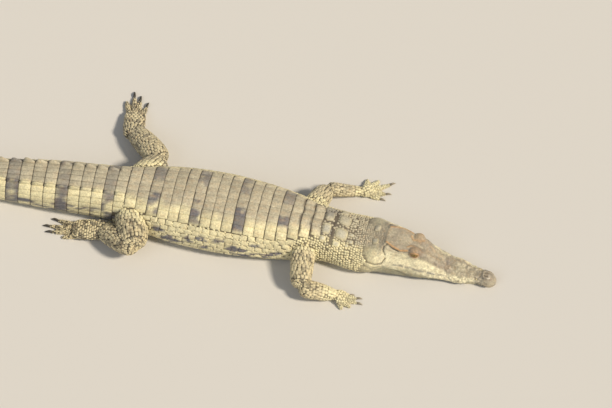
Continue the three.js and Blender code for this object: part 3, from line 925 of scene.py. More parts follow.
@dataclass
class Markings:
    """The colours of the whole animal, which skin and coat share, with painted shade and highlight among the
    pattern: they depend only on the place.
    """

    body: Body
    bands: tuple[float, ...] = (461, 575, 691, 807, 925, 1052, 1190, 1324, 1455, 1560, 1690, 1830, 1970)
    band_length: float = 13.0
    row_reach: float = 15.5
    knob: tuple[float, float] = (334.0, 47.0)
    creases: tuple[float, ...] = (444.0, 473.5, 502.5, 531.5)

    def leg_share(self, station: Array, right: Array) -> Array:
        """How far each point belongs to a leg, from 0 on the trunk to 1 beside it."""
        beyond = np.abs(right) - self.body.half_width(np.maximum(station, 300)) - 1
        return smooth(0, 16, beyond) * (station > 430)

    def colours(self, points: Array, dark: Array, rows: Array | None = None) -> Array:
        """The colour at each point.

        Args:
            points: Places, in millimetres.
            dark: From 0 to 1 for each, how readily it turns dark where the pattern is dark.
            rows: The station of the row of scales that each belongs to, where it belongs to one.

        Returns:
            Linear red, green and blue for each.
        """
        station, right = self.body.locate(points)
        wide = self.body.half_width(np.maximum(station, 300))
        high = self.body.back_height(np.maximum(station, 300))
        side = np.clip(np.abs(right) / wide, 0, 1.2)
        low = 1 - np.clip(points[:, 2] / high, 0, 1)
        cloud, fine = mottle(points, 38.0), mottle(points, 9.0, 5.0)
        # Painted shade: on the far side, away from the light, the pale flank colour starts lower, so more of
        # the darker back colour shows
        far_side_shade = np.where(right < 0, 0.24, 0.0)
        flank = smooth(0.36, 0.64, side + 0.16 * cloud - far_side_shade)
        colour = mixed(np.tile(hue(Hue.BACK), (len(points), 1)), hue(Hue.FLANK), flank)
        colour = mixed(colour, hue(Hue.BELLY), smooth(0.72, 0.95, low))
        on_back = smooth(0.17, 0.24, side) * (1 - smooth(0.72, 0.8, side))
        on_tail = (0.5 + 0.5 * smooth(0.3, 0.6, side)) * (1 - smooth(0.7, 0.9, low))
        beside = np.where(station > TAIL_START, on_tail, on_back) * np.where(right < 0, 0.7, 1.0)
        band = np.zeros(len(points))
        for at in self.bands:
            if rows is None:
                band = np.maximum(band, np.exp(-(((station - at) / self.band_length) ** 4)))
            else:
                band = np.maximum(band, np.abs(rows - at) < self.row_reach)
        broken = smooth(-0.55, 0.0, mottle(points, 22.0, 11.0))
        band = band * (0.1 + 0.9 * beside) * broken * (0.8 + 0.2 * dark)
        drawn_out = mottle(points * np.array([0.42, 1.0, 1.0]), 12.0, 3.0)
        blotch = smooth(0.05, 0.22, drawn_out) * smooth(0.3, 0.42, low) * (1 - smooth(0.8, 0.97, low))
        wave = 2.2 * np.sin(right / 9.0) + 1.5 * fine
        # Painted shade: near-black lines in the creases across the nape
        crease = np.zeros(len(points))
        for at in self.creases:
            line = np.exp(-(((station - at - wave) / 2.4) ** 2))
            crease = np.maximum(crease, line * (1 - smooth(0.6, 0.75, side)))
        shade = np.clip(np.maximum(band, blotch * smooth(500, 560, station)), 0, 1)
        colour = mixed(colour, hue(Hue.SLATE), np.where(station > 370, shade, 0))
        colour = mixed(colour, hue(Hue.SPECK), 0.85 * crease)
        head = 1 - smooth(300, 372, station + 14 * cloud)
        level = points[:, 2] / np.maximum(self.body.brow_height(station), 30)
        crown = smooth(0.79, 0.97, level + 0.05 * cloud)
        lump = np.hypot(station - self.knob[0], np.abs(right) - self.knob[1])
        crown = crown * (1 - 0.85 * np.exp(-((lump / 15) ** 2)))
        skull = np.tile(hue(Hue.JAW), (len(points), 1))
        skull = mixed(skull, hue(Hue.SKULL), np.clip(crown * (0.75 + 0.4 * cloud), 0, 1))
        jaw = (1 - smooth(0.42, 0.56, level)) * smooth(180, 250, station)
        jaw = np.maximum(jaw, (1 - smooth(0.3, 0.45, level)) * smooth(40, 90, station))
        jaw = np.maximum(jaw * 0.85, 0.3 * np.exp(-((lump / 22) ** 2)))
        skull = mixed(skull, hue(Hue.CHEEK), jaw)
        skull = mixed(skull, hue(Hue.TIP), (1 - smooth(36, 70, station)) * 0.85)
        # Paler on the raised warts of the snout and darker between them, following the same noise as their
        # bumps: painted highlight and painted shade
        warts = mottle(points, 7.0, 6.0)
        skull = skull * (1 + self.body.warty(station) * (0.45 * np.clip(warts, -0.6, 0.5)))[:, None]
        pits = smooth(0.2, 0.45, mottle(points, 4.2, 31.0)) * self.body.warty(station)
        pits = pits * (1 - smooth(110, 150, station)) * (1 - crown)
        skull = skull * (1 - 0.45 * pits)[:, None]
        colour = mixed(colour, skull, head)
        leg = self.leg_share(station, right)
        hind = smooth(750, 850, station)
        small = mottle(points, 5.5, 8.0)
        grain = 0.6 * fine + 0.7 * small + 0.25 * cloud
        speck = smooth(0.0, 0.2, grain + 0.3 * (dark - 0.6) + 0.12 * (hind - 0.8))
        limb = mixed(np.tile(hue(Hue.LEG), (len(points), 1)), hue(Hue.SPECK), speck * (0.64 + 0.08 * hind))
        # Every leg takes some of the back's colour; the far legs take more, as painted shade
        limb = mixed(limb, hue(Hue.BACK), np.where(right < 0, 0.4, 0.15))
        colour = mixed(colour, limb, leg)
        colour = mixed(colour, hue(Hue.RIM), 0.12 * smooth(0.0, 0.5, mottle(points, 6.0, 21.0)))
        colour = mixed(colour, hue(Hue.SLATE), 0.16 * smooth(0.0, 0.5, mottle(points, 7.0, 23.0)))
        return colour * (1.03 + 0.12 * cloud + 0.10 * fine)[:, None]


# ---- materials


class Nodes:
    """A material's nodes, added one at a time."""

    def __init__(self, name: str) -> None:
        """Starts a material with nothing in it.

        Args:
            name: What it is called.
        """
        self.material = bpy.data.materials.new(name)
        self.material.use_nodes = True
        self.tree = self.material.node_tree
        self.tree.nodes.clear()

    def add(
        self, kind: str, links: dict[str | int, object] | None = None, **settings: object
    ) -> bpy.types.Node:
        """Adds a node.

        Args:
            kind: The end of the node's type name, after ShaderNode.
            links: What each input takes: a value, or an output socket to link.
            settings: The node's own properties.

        Returns:
            The new node.
        """
        node = self.tree.nodes.new("ShaderNode" + kind)
        for key, value in settings.items():
            setattr(node, key, value)
        for key, value in (links or {}).items():
            if isinstance(value, bpy.types.NodeSocket):
                self.tree.links.new(value, node.inputs[key])
            else:
                node.inputs[key].default_value = value
        return node


@dataclass(frozen=True)
class HideFinish:
    """Living crocodile hide: thick keratin over leather, dry and matt, with fine wrinkles and pores.

    The eye sees a soft, dusty sheen, dark seams between scales, and darker colour in every pit and crack. The
    pores of real hide are too fine to show, so the grain is drawn coarser.
    """

    name: str
    seam_share: float
    roughness: float = 0.62
    grain_mm: float = 1.6
    wrinkle_mm: float = 5.0
    pore_shade: float = 0.5
    cell_mm: float = 6.0
    cell_depth: float = 0.0
    bump: float = 0.5

    def build(self) -> bpy.types.Material:
        """Makes the material.

        Returns:
            The material.
        """
        n = Nodes(self.name)
        place = n.add("TexCoord").outputs["Object"]
        tint = n.add("Attribute", attribute_name="tint").outputs
        rim = n.add("Attribute", attribute_name="rim").outputs["Fac"]
        fine, coarse = 1 / (self.grain_mm * MM), 1 / (self.wrinkle_mm * MM)
        grain = n.add("TexNoise", {"Vector": place, "Scale": fine, "Detail": 4.0}).outputs["Fac"]
        wrinkle = n.add("TexNoise", {"Vector": place, "Scale": coarse, "Detail": 3.0}).outputs["Fac"]
        patchy = n.add("MapRange", {0: wrinkle, 1: 0.25, 2: 0.75, 3: 0.72, 4: 1.22})
        spots = n.add("MapRange", {0: grain, 1: 0.58, 2: 0.74, 3: 1.0, 4: self.pore_shade})
        shade = n.add("Math", {0: patchy.outputs[0], 1: spots.outputs[0]}, operation="MULTIPLY")
        stained = {0: 1.0, 6: tint["Color"], 7: shade.outputs[0]}
        toned = n.add("Mix", stained, data_type="RGBA", blend_type="MULTIPLY")
        ragged = n.add("Math", {0: rim, 1: wrinkle}, operation="MULTIPLY")
        edge = n.add("MapRange", {0: ragged.outputs[0], 1: 0.22, 2: 0.62, 4: self.seam_share})
        seam = linear(Hue.SEAM.value)
        seamed = n.add("Mix", {0: edge.outputs[0], 6: toned.outputs[2], 7: seam}, data_type="RGBA")
        height = n.add("Math", {0: grain, 1: 0.35, 2: wrinkle}, operation="MULTIPLY_ADD").outputs[0]
        colour = seamed.outputs[2]
        if self.cell_depth:
            spread = {"Vector": place, "Scale": 1 / (self.cell_mm * MM)}
            cells = n.add("TexVoronoi", spread, feature="DISTANCE_TO_EDGE")
            gap = n.add("MapRange", {0: cells.outputs["Distance"], 1: 0.0, 2: 0.1, 3: 1.0, 4: 0.0}).outputs[0]
            depth = n.add("MapRange", {0: rim, 3: self.cell_depth, 4: self.cell_depth + 0.1})
            sunk = n.add("Math", {0: gap, 1: depth.outputs[0]}, operation="MULTIPLY").outputs[0]
            colour = n.add("Mix", {0: sunk, 6: colour, 7: seam}, data_type="RGBA").outputs[2]
            height = n.add("Math", {0: sunk, 1: -1.6, 2: height}, operation="MULTIPLY_ADD").outputs[0]
        bump = n.add("Bump", {"Height": height, "Strength": self.bump, "Distance": 0.7 * MM})
        dry = n.add("MapRange", {0: wrinkle, 3: self.roughness - 0.12, 4: self.roughness + 0.14})
        rough = n.add("MapRange", {0: tint["Alpha"], 3: 0.27, 4: dry.outputs[0]})
        shader = n.add(
            "BsdfPrincipled",
            {"Base Color": colour, "Roughness": rough.outputs[0], "Normal": bump.outputs["Normal"],
             "IOR": 1.5, "Sheen Weight": 0.08, "Sheen Roughness": 0.5},
        )
        n.add("OutputMaterial", {0: shader.outputs[0]})
        return n.material


@dataclass(frozen=True)
class HornFinish:
    """Horn grown in layers, which gives streaks and a satin gloss.

    Real layers are too fine to show, so the streaks are drawn coarser.
    """

    name: str
    base: str
    tip: str

    def build(self) -> bpy.types.Material:
        """Makes the material.

        Returns:
            The material.
        """
        n = Nodes(self.name)
        place = n.add("TexCoord").outputs["Object"]
        streak = n.add("TexNoise", {"Vector": place, "Scale": 1 / (1.4 * MM), "Detail": 3.0})
        share = n.add("Attribute", attribute_name="rim").outputs["Fac"]
        worn = n.add("Math", {0: share, 1: streak.outputs["Fac"]}, operation="MULTIPLY")
        ramp = n.add("MapRange", {0: worn.outputs[0], 2: 0.6}).outputs[0]
        colour = n.add("Mix", {0: ramp, 6: linear(self.base), 7: linear(self.tip)}, data_type="RGBA")
        bump = n.add("Bump", {"Height": streak.outputs["Fac"], "Strength": 0.25, "Distance": 0.3 * MM})
        shader = n.add(
            "BsdfPrincipled",
            {"Base Color": colour.outputs[2], "Roughness": 0.38, "IOR": 1.54, "Normal": bump.outputs[0]},
        )
        n.add("OutputMaterial", {0: shader.outputs[0]})
        return n.material


@dataclass(frozen=True)
class EyeFinish:
    """A wet reptile eye: a clear cornea over a flecked bronze iris with a dark upright slit."""

    name: str = "wet cornea over bronze iris"
    iris: str = "6b5426"
    inner: str = "a08442"
    slit: str = "0c0a08"
    slit_width: float = 0.075
    slit_end: float = 0.13  # the square of how high it reaches

    def build(self) -> bpy.types.Material:
        """Makes the material.

        Returns:
            The material.
        """
        n = Nodes(self.name)
        gaze = n.add("Attribute", attribute_name="gaze").outputs["Vector"]
        axes = n.add("SeparateXYZ", {0: gaze}).outputs
        flat = n.add("CombineXYZ", {0: axes[0], 1: axes[1]}).outputs[0]
        reach = n.add("VectorMath", {0: flat}, operation="LENGTH").outputs["Value"]
        fleck = n.add("TexNoise", {"Vector": gaze, "Scale": 14.0, "Detail": 3.0}).outputs["Fac"]
        bronze = {0: fleck, 6: linear(self.iris), 7: linear(self.inner)}
        iris = n.add("Mix", bronze, data_type="RGBA").outputs[2]
        across = n.add("Math", {0: axes[0]}, operation="ABSOLUTE").outputs[0]
        down = n.add("Math", {0: axes[1], 1: axes[1]}, operation="MULTIPLY").outputs[0]
        taper = n.add("MapRange", {0: down, 2: self.slit_end, 3: self.slit_width, 4: 0.0}).outputs[0]
        inside = n.add("Math", {0: taper, 1: across}, operation="SUBTRACT").outputs[0]
        slit = n.add("MapRange", {0: inside, 1: -0.01, 2: 0.015}).outputs[0]
        pupil = n.add("Mix", {0: slit, 6: iris, 7: linear(self.slit)}, data_type="RGBA").outputs[2]
        rim = n.add("MapRange", {0: reach, 1: 0.6, 2: 0.8}).outputs[0]
        dark = n.add("Mix", {0: rim, 6: pupil, 7: linear(self.slit)}, data_type="RGBA")
        shader = n.add(
            "BsdfPrincipled",
            {"Base Color": dark.outputs[2], "Roughness": 0.12, "IOR": 1.38, "Coat Weight": 0.6,
             "Coat Roughness": 0.05},
        )
        n.add("OutputMaterial", {0: shader.outputs[0]})
        return n.material


# ---- the skin

# How a vertex is smoothed: half the way to the middle of its neighbours.
HALF_WAY = {"factor": 0.5, "use_axis_x": True, "use_axis_y": True, "use_axis_z": True}


@dataclass
class Skin:
    """One skin over head, trunk, tail and legs, with a finer mesh on the head."""

    body: Body
    markings: Markings
    legs: tuple[Leg, ...] = LEGS
    head_sides: tuple[tuple[float, int], ...] = (
        (0.0, 0), (0.13, 9), (0.4, 32), (0.53, 44), (0.62, 60), (1.0, 78)
    )
    body_sides: int = 80
    head_end: float = 352.0
    head_step: float = 1.75
    body_step: float = 5.6
    voxel: float = 2.7
    obj: bpy.types.Object | None = None
    tree: BVHTree | None = None
    taken: dict[tuple[int, int, int], list[tuple[Array, float]]] = field(default_factory=dict)

    def claim(self, point: Array, room: float, cell: float = 16.0) -> bool:
        """Takes a place on the skin for a scale.

        Args:
            point: The middle of the scale.
            room: Half its smaller size.
            cell: The size of the boxes that the places are kept in.

        Returns:
            Whether the place was free.
        """
        x, y, z = (int(c // cell) for c in point)
        near = ((x + i, y + j, z + k) for i in (-1, 0, 1) for j in (-1, 0, 1) for k in (-1, 0, 1))
        for key in near:
            for other, size in self.taken.get(key, ()):
                if np.linalg.norm(point - other) < 0.72 * (room + size):
                    return False
        self.taken.setdefault((x, y, z), []).append((point, room))
        return True

    def rings(self, stations: Array, turns: Array, grown: Array) -> bmesh.types.BMesh:
        """An open tube of rings at those stations, each through those turns round the body.

        Args:
            stations: Where the rings are.
            turns: The turns of a ring's vertices, the first and last of which meet under the belly.
            grown: How far each ring stands out from the solids.

        Returns:
            A bmesh in millimetres, with its two end rings open.
        """
        bm = bmesh.new()
        made = sheet_grid(bm, len(stations), len(turns))
        at, turn = np.meshgrid(stations, turns, indexing="ij")
        placed = self.body.surface(at.ravel(), turn.ravel(), np.repeat(grown, len(turns)))
        put(made, placed)
        bmesh.ops.remove_doubles(bm, verts=bm.verts, dist=0.01)
        return bm

    def trunk(self) -> bpy.types.Object:
        """Head, neck, trunk and tail as one closed form.

        Returns:
            The form, in metres.
        """
        share, count = np.array(self.head_sides).T
        half = np.interp(np.arange(count[-1] + 1), count, share)
        head_turns = np.concatenate([-half[:0:-1], half])
        near = np.array([0.15, 0.6, 1.4, 2.4, 3.6, 4.9, 6.3, 7.8])
        head_at = np.concatenate([near, np.arange(9.5, self.head_end, self.head_step)])
        rows = np.arange(self.head_end + 3, TAIL_TIP - 14, self.body_step)
        body_at = np.concatenate([rows, TAIL_TIP - np.array([9, 5, 2.5, 1, 0.3])])
        depth = -COAT_DEPTH * smooth(300, 360, head_at)
        bm = self.rings(head_at, head_turns, depth)
        body_turns = np.linspace(-1, 1, self.body_sides + 1)
        tail = self.rings(body_at, body_turns, np.full(len(body_at), -COAT_DEPTH))
        mesh = bpy.data.meshes.new("tail part")
        tail.to_mesh(mesh)
        tail.free()
        bm.from_mesh(mesh)
        bpy.data.meshes.remove(mesh)
        loose = [edge for edge in bm.edges if edge.is_boundary]
        station = self.body.locate(np.array([e.verts[0].co for e in loose], float))[0]
        beside = np.abs(station - (head_at[-1] + body_at[0]) / 2) < 30
        bmesh.ops.bridge_loops(bm, edges=[e for e, joint in zip(loose, beside) if joint])
        bmesh.ops.holes_fill(bm, edges=[e for e in bm.edges if e.is_boundary], sides=0)
        bmesh.ops.recalc_face_normals(bm, faces=bm.faces)
        return object_from("skin", bm)

    def leg(self, leg: Leg) -> bpy.types.Object:
        """One leg as one closed form, its parts grown together.

        Args:
            leg: The leg's plan.

        Returns:
            The form, in metres.
        """
        bm = bmesh.new()
        for form in leg.flesh():
            form.solid(bm, 24, 20)
        made = object_from(leg.name, bm)
        remesh = made.modifiers.new("grown together", "REMESH")
        remesh.mode, remesh.voxel_size = "VOXEL", self.voxel * MM
        applied(made)
        bm = bmesh.new()
        bm.from_mesh(made.data)
        for _ in range(4):
            bmesh.ops.smooth_vert(bm, verts=bm.verts, **HALF_WAY)
        for vertex in bm.verts:
            vertex.co.z = max(vertex.co.z, 0.4 * MM)
        bm.to_mesh(made.data)
        bm.free()
        return made

    def build(self) -> bpy.types.Object:
        """Grows the legs into the trunk, softens where they meet and lays down the markings.

        Returns:
            The skin.
        """
        self.obj = self.trunk()
        for leg in self.legs:
            part = self.leg(leg)
            join = self.obj.modifiers.new(leg.name, "BOOLEAN")
            join.operation, join.object, join.solver = "UNION", part, "MANIFOLD"
            applied(self.obj)
            bpy.data.objects.remove(part)
        self.soften()
        self.carve_eyes()
        mesh = self.obj.data
        mesh.polygons.foreach_set("use_smooth", np.ones(len(mesh.polygons), bool))
        self.mark()
        corners = [tuple(co) for co in coordinates(mesh)]
        self.tree = BVHTree.FromPolygons(corners, [tuple(p.vertices) for p in mesh.polygons])
        return self.obj

    def soften(self) -> None:
        """Rounds the creases where the legs meet the trunk."""
        bm = bmesh.new()
        bm.from_mesh(self.obj.data)
        crease = set()
        for edge in bm.edges:
            behind_neck = edge.verts[0].co.x < 0.62
            if len(edge.link_faces) == 2 and behind_neck and not edge.is_convex:
                if edge.calc_face_angle(0.0) > math.radians(24):
                    crease.update(edge.verts)
        for _ in range(3):
            crease.update([e.other_vert(v) for v in list(crease) for e in v.link_edges])
        for _ in range(10):
            bmesh.ops.smooth_vert(bm, verts=list(crease), **HALF_WAY)
        bm.to_mesh(self.obj.data)
        bm.free()

    def carve_eyes(self) -> None:
        """Draws the skin up over the eyeballs as lids, and opens them."""
        co = coordinates(self.obj.data)
        for side in (1, -1):
            eye = Eye(self.body, side)
            cover = eye.radius + eye.lid
            away = co - eye.centre
            lift = unit(0.5 * eye.axes[2] + np.array([0.0, 0.0, 1.0]))
            along = away @ lift
            flat = away - along[:, None] * lift
            ahead = flat @ unit(eye.axes[0] - lift * (eye.axes[0] @ lift))
            across = np.sqrt(np.maximum((flat**2).sum(1) - ahead**2, 0))
            aside = np.hypot(ahead / eye.stretch, across)
            dome = np.sqrt(np.maximum(cover**2 - aside**2, 0.0)) - 2.5 * np.maximum(aside - cover, 0)
            merged = 0.5 * (along + dome + np.hypot(along - dome, eye.fillet))
            near = (1 - smooth(1.15 * cover, 1.9 * cover, aside)) * smooth(-1.2 * cover, -0.5 * cover, along)
            co += ((merged - along) * near)[:, None] * lift
            local = eye.local(co)
            reach = np.linalg.norm(local, axis=1)
            under = np.flatnonzero((reach < 1.6 * cover) & (local[:, 2] > 0))
            allowed = eye.radius + np.interp(eye.beyond(local[under]), *np.array(eye.room).T)
            shrink = np.minimum(1.0, allowed / reach[under])[:, None]
            co[under] = eye.centre + (co[under] - eye.centre) * shrink
        self.obj.data.vertices.foreach_set("co", (co * MM).astype(np.float32).ravel())

    def mark(self) -> None:
        """Colours the skin: as the coat on the head, and darker in the seams between the scales, with orange
        on the rims of the head, partly a painted highlight, and painted shade in its furrows and nostrils.
        """
        co = coordinates(self.obj.data)
        station, right = self.body.locate(co)
        leg = self.markings.leg_share(station, right)
        covered = smooth(318, 390, station)
        colour = self.markings.colours(co, np.full(len(co), 0.6))
        low = 1 - np.clip(co[:, 2] / self.body.back_height(np.maximum(station, 300)), 0, 1)
        # The skin shows only in the gaps between the scales; there it is darkened toward the seam colour,
        # less so low on the belly
        seam = covered * np.where(leg > 0.5, 0.85, 0.88 - 0.4 * smooth(0.7, 0.95, low))
        seam = seam * (0.86 + 0.14 * smooth(430, 520, station))
        gap_darkening = np.where(leg[:, None] > 0.5, hue(Hue.SPECK), hue(Hue.SEAM))
        colour = mixed(colour, np.minimum(colour, gap_darkening), seam)
        # Orange on the rims, partly a painted highlight, and painted shade in the furrows and nostrils
        glow, furrow_shade = self.rims_and_pits(station, co)
        colour = mixed(mixed(colour, hue(Hue.RIM), glow), hue(Hue.SEAM), furrow_shade)
        line = np.where(station < 400, np.exp(-((self.gap(self.body.lip_line, co) / 3.2) ** 2)), 0)
        colour = mixed(colour, hue(Hue.SLATE), 0.75 * line * smooth(-0.6, 0.1, mottle(co, 6.0, 17.0)))
        lip = np.exp(-(((co[:, 2] - self.body.mouth(station)) / 9) ** 2)) * (1 - smooth(190, 250, station))
        lip = np.maximum(lip, line)
        wet = np.clip(np.maximum(lip, 1 - smooth(46, 70, station)), 0, 1) * (station < 300)
        wet = wet * smooth(-0.35, 0.15, mottle(co, 5.0, 9.0))
        colour = colour * (1 - 0.12 * wet)[:, None]
        paint(self.obj.data, "tint", "FLOAT_COLOR", np.concatenate([colour, 1 - wet[:, None]], 1))
        paint(self.obj.data, "rim", "FLOAT", smooth(285, 345, station) * (station < 430))

    def gap(self, path: tuple[tuple[float, float], ...], co: Array) -> Array:
        """How far each point is from a path on the head, on its own side.

        Args:
            path: The path's knots, each a station and a turn.
            co: The points, in millimetres.

        Returns:
            One distance for each point.
        """
        knots = np.array(path)
        depth = -COAT_DEPTH * smooth(300, 360, knots[:, 0])
        turns = np.maximum(knots[:, 1], 1e-6)
        sides = [self.body.surface(knots[:, 0], side * turns, depth) for side in (1, -1)]
        return np.minimum(*(off_path(co, placed) for placed in sides))

    def rims_and_pits(self, station: Array, co: Array) -> tuple[Array, Array]:
        """How orange the rims of the head are, partly as a painted highlight, and how dark its furrows and
        nostrils are with painted shade, at each point.

        Args:
            station: How far behind the snout each point is.
            co: The points, in millimetres.

        Returns:
            The share of orange, and the share of painted shade in the furrows.
        """
        glow, furrow_shade = np.zeros(len(co)), np.zeros(len(co))
        head = np.flatnonzero(station < 400)
        near = co[head]
        for side in (1, -1):
            eye = Eye(self.body, side)
            reach = np.linalg.norm(eye.local(near), axis=1)
            # Orange over the upper half of the eye's bulge: partly painted highlight
            ring = 0.36 * np.exp(-(((reach - eye.radius) / 3.5) ** 2)) * (near[:, 2] > 60)
            glow[head] = np.maximum(glow[head], ring)
        for fold in self.body.folds:
            gap = self.gap(fold.path, near)
            glow[head] = np.maximum(glow[head], fold.glow * np.exp(-((gap / 2.6) ** 2)))
            # Painted shade in the narrow furrows and the nostrils
            if fold.rise < 0 and fold.width < 4.5:
                deep = min(0.9, -0.24 * fold.rise)
                furrow_shade[head] = np.maximum(furrow_shade[head], deep * np.exp(-((gap / (0.7 * fold.width)) ** 2)))
        return glow, furrow_shade


# ---- scales


class Scale(NamedTuple):
    """One scale: its middle on a surface, its half sizes, its height, its keel, its turn and its tone."""

    along: float
    across: float
    half_long: float
    half_wide: float
    high: float
    keel: float
    spin: float
    tone: float


@dataclass(frozen=True)
class Stamp:
    """The shape that a kind of scale is made with, on a square from -1 to 1.

    Attributes:
        lines: Where its rows and columns of vertices lie.
        roundness: 0 for square corners, 1 for an oval.
        dome: How much higher its middle is than its shoulder.
        back_lift: How much its rear edge stands up, as a share of its height.
        side_seam: How dark its sides are, as a share of its front and rear edges.
        crest: Whether it is a tall blade of the tail's crest.
    """

    lines: tuple[float, ...]
    roundness: float
    dome: float = 0.25
    back_lift: float = 0.0
    side_seam: float = 1.0
    crest: bool = False

    def shape(self) -> tuple[Array, Array, Array, Array, Array, list[list[int]]]:
        """Its vertices and faces.

        Returns:
            Places across the square, shares of the height, shares of the keel, how near the border each
            vertex is, how dark the seam makes it, and the faces.
        """
        bm = bmesh.new()
        made = sheet_grid(bm, len(self.lines), len(self.lines))
        for i, vertex in enumerate(made):
            vertex.co = (self.lines[i % len(self.lines)], self.lines[i // len(self.lines)], 1.0)
        border = [edge for edge in bm.edges if edge.is_boundary]
        for vertex in {vertex for edge in border for vertex in edge.verts}:
            vertex.co.z = 0.0
        bmesh.ops.holes_fill(bm, edges=border, sides=0)
        bmesh.ops.recalc_face_normals(bm, faces=bm.faces)
        bm.verts.index_update()
        square = np.array([v.co[:2] for v in bm.verts], float)
        faces = [[v.index for v in face.verts] for face in bm.faces]
        bm.free()
        edge = np.abs(square).max(1)
        circle = square * np.sqrt(np.maximum(1 - square[:, ::-1] ** 2 / 2, 0))
        placed = square * (1 - self.roundness) + circle * self.roundness
        inner = edge < 0.999
        seam = np.maximum(np.abs(square[:, 0]) ** 6, self.side_seam * np.abs(square[:, 1]) ** 6)
        if self.crest:
            rise, fall = (square[:, 0] + 1) / 1.4, (1 - square[:, 0]) / 0.6
            body = np.minimum(rise, fall) ** 0.7 * np.maximum(1 - np.abs(square[:, 1]), 0) ** 0.75
            return placed, np.where(inner, body, 0.0), np.zeros(len(edge)), edge, seam, faces
        body = np.maximum(1 - edge**5, 0) ** 0.5 * (1 + self.dome * (1 - edge**2))
        body = np.where(inner, body * (1 - self.back_lift * 0.5 * (1 - square[:, 0])), 0.0)
        keel = np.where(inner, np.maximum(1 - np.abs(square[:, 1]) / 0.5, 0) ** 1.4, 0.0)
        keel = keel * (0.6 + 0.4 * square[:, 0]) * np.maximum(1 - square[:, 0] ** 8, 0)
        return placed, body, keel, edge, seam, faces


class Kind(Enum):
    """The kinds of scale, by how finely they are drawn."""

    SCUTE = Stamp((-1, -0.96, -0.84, -0.5, -0.2, 0, 0.2, 0.5, 0.84, 0.96, 1), 0.1, 0.3, 0.3, 0.35)
    BOSS = Stamp((-1, -0.94, -0.75, -0.4, 0, 0.4, 0.75, 0.94, 1), 0.62, 0.9, 0.1, 0.9)
    PLATE = Stamp((-1, -0.95, -0.78, 0, 0.78, 0.95, 1), 0.12, 0.3, 0.3, 0.35)
    OVAL = Stamp((-1, -0.94, -0.66, 0, 0.66, 0.94, 1), 0.36, 0.45, 0.1)
    PEBBLE = Stamp((-1, -0.88, -0.4, 0.4, 0.88, 1), 0.55, 0.5, 0.1)
    BEAD = Stamp((-1, -0.8, 0, 0.8, 1), 0.7, 0.8)
    BLADE = Stamp((-1, -0.8, -0.5, -0.2, 0, 0.2, 0.5, 0.8, 1), 0.3, crest=True)


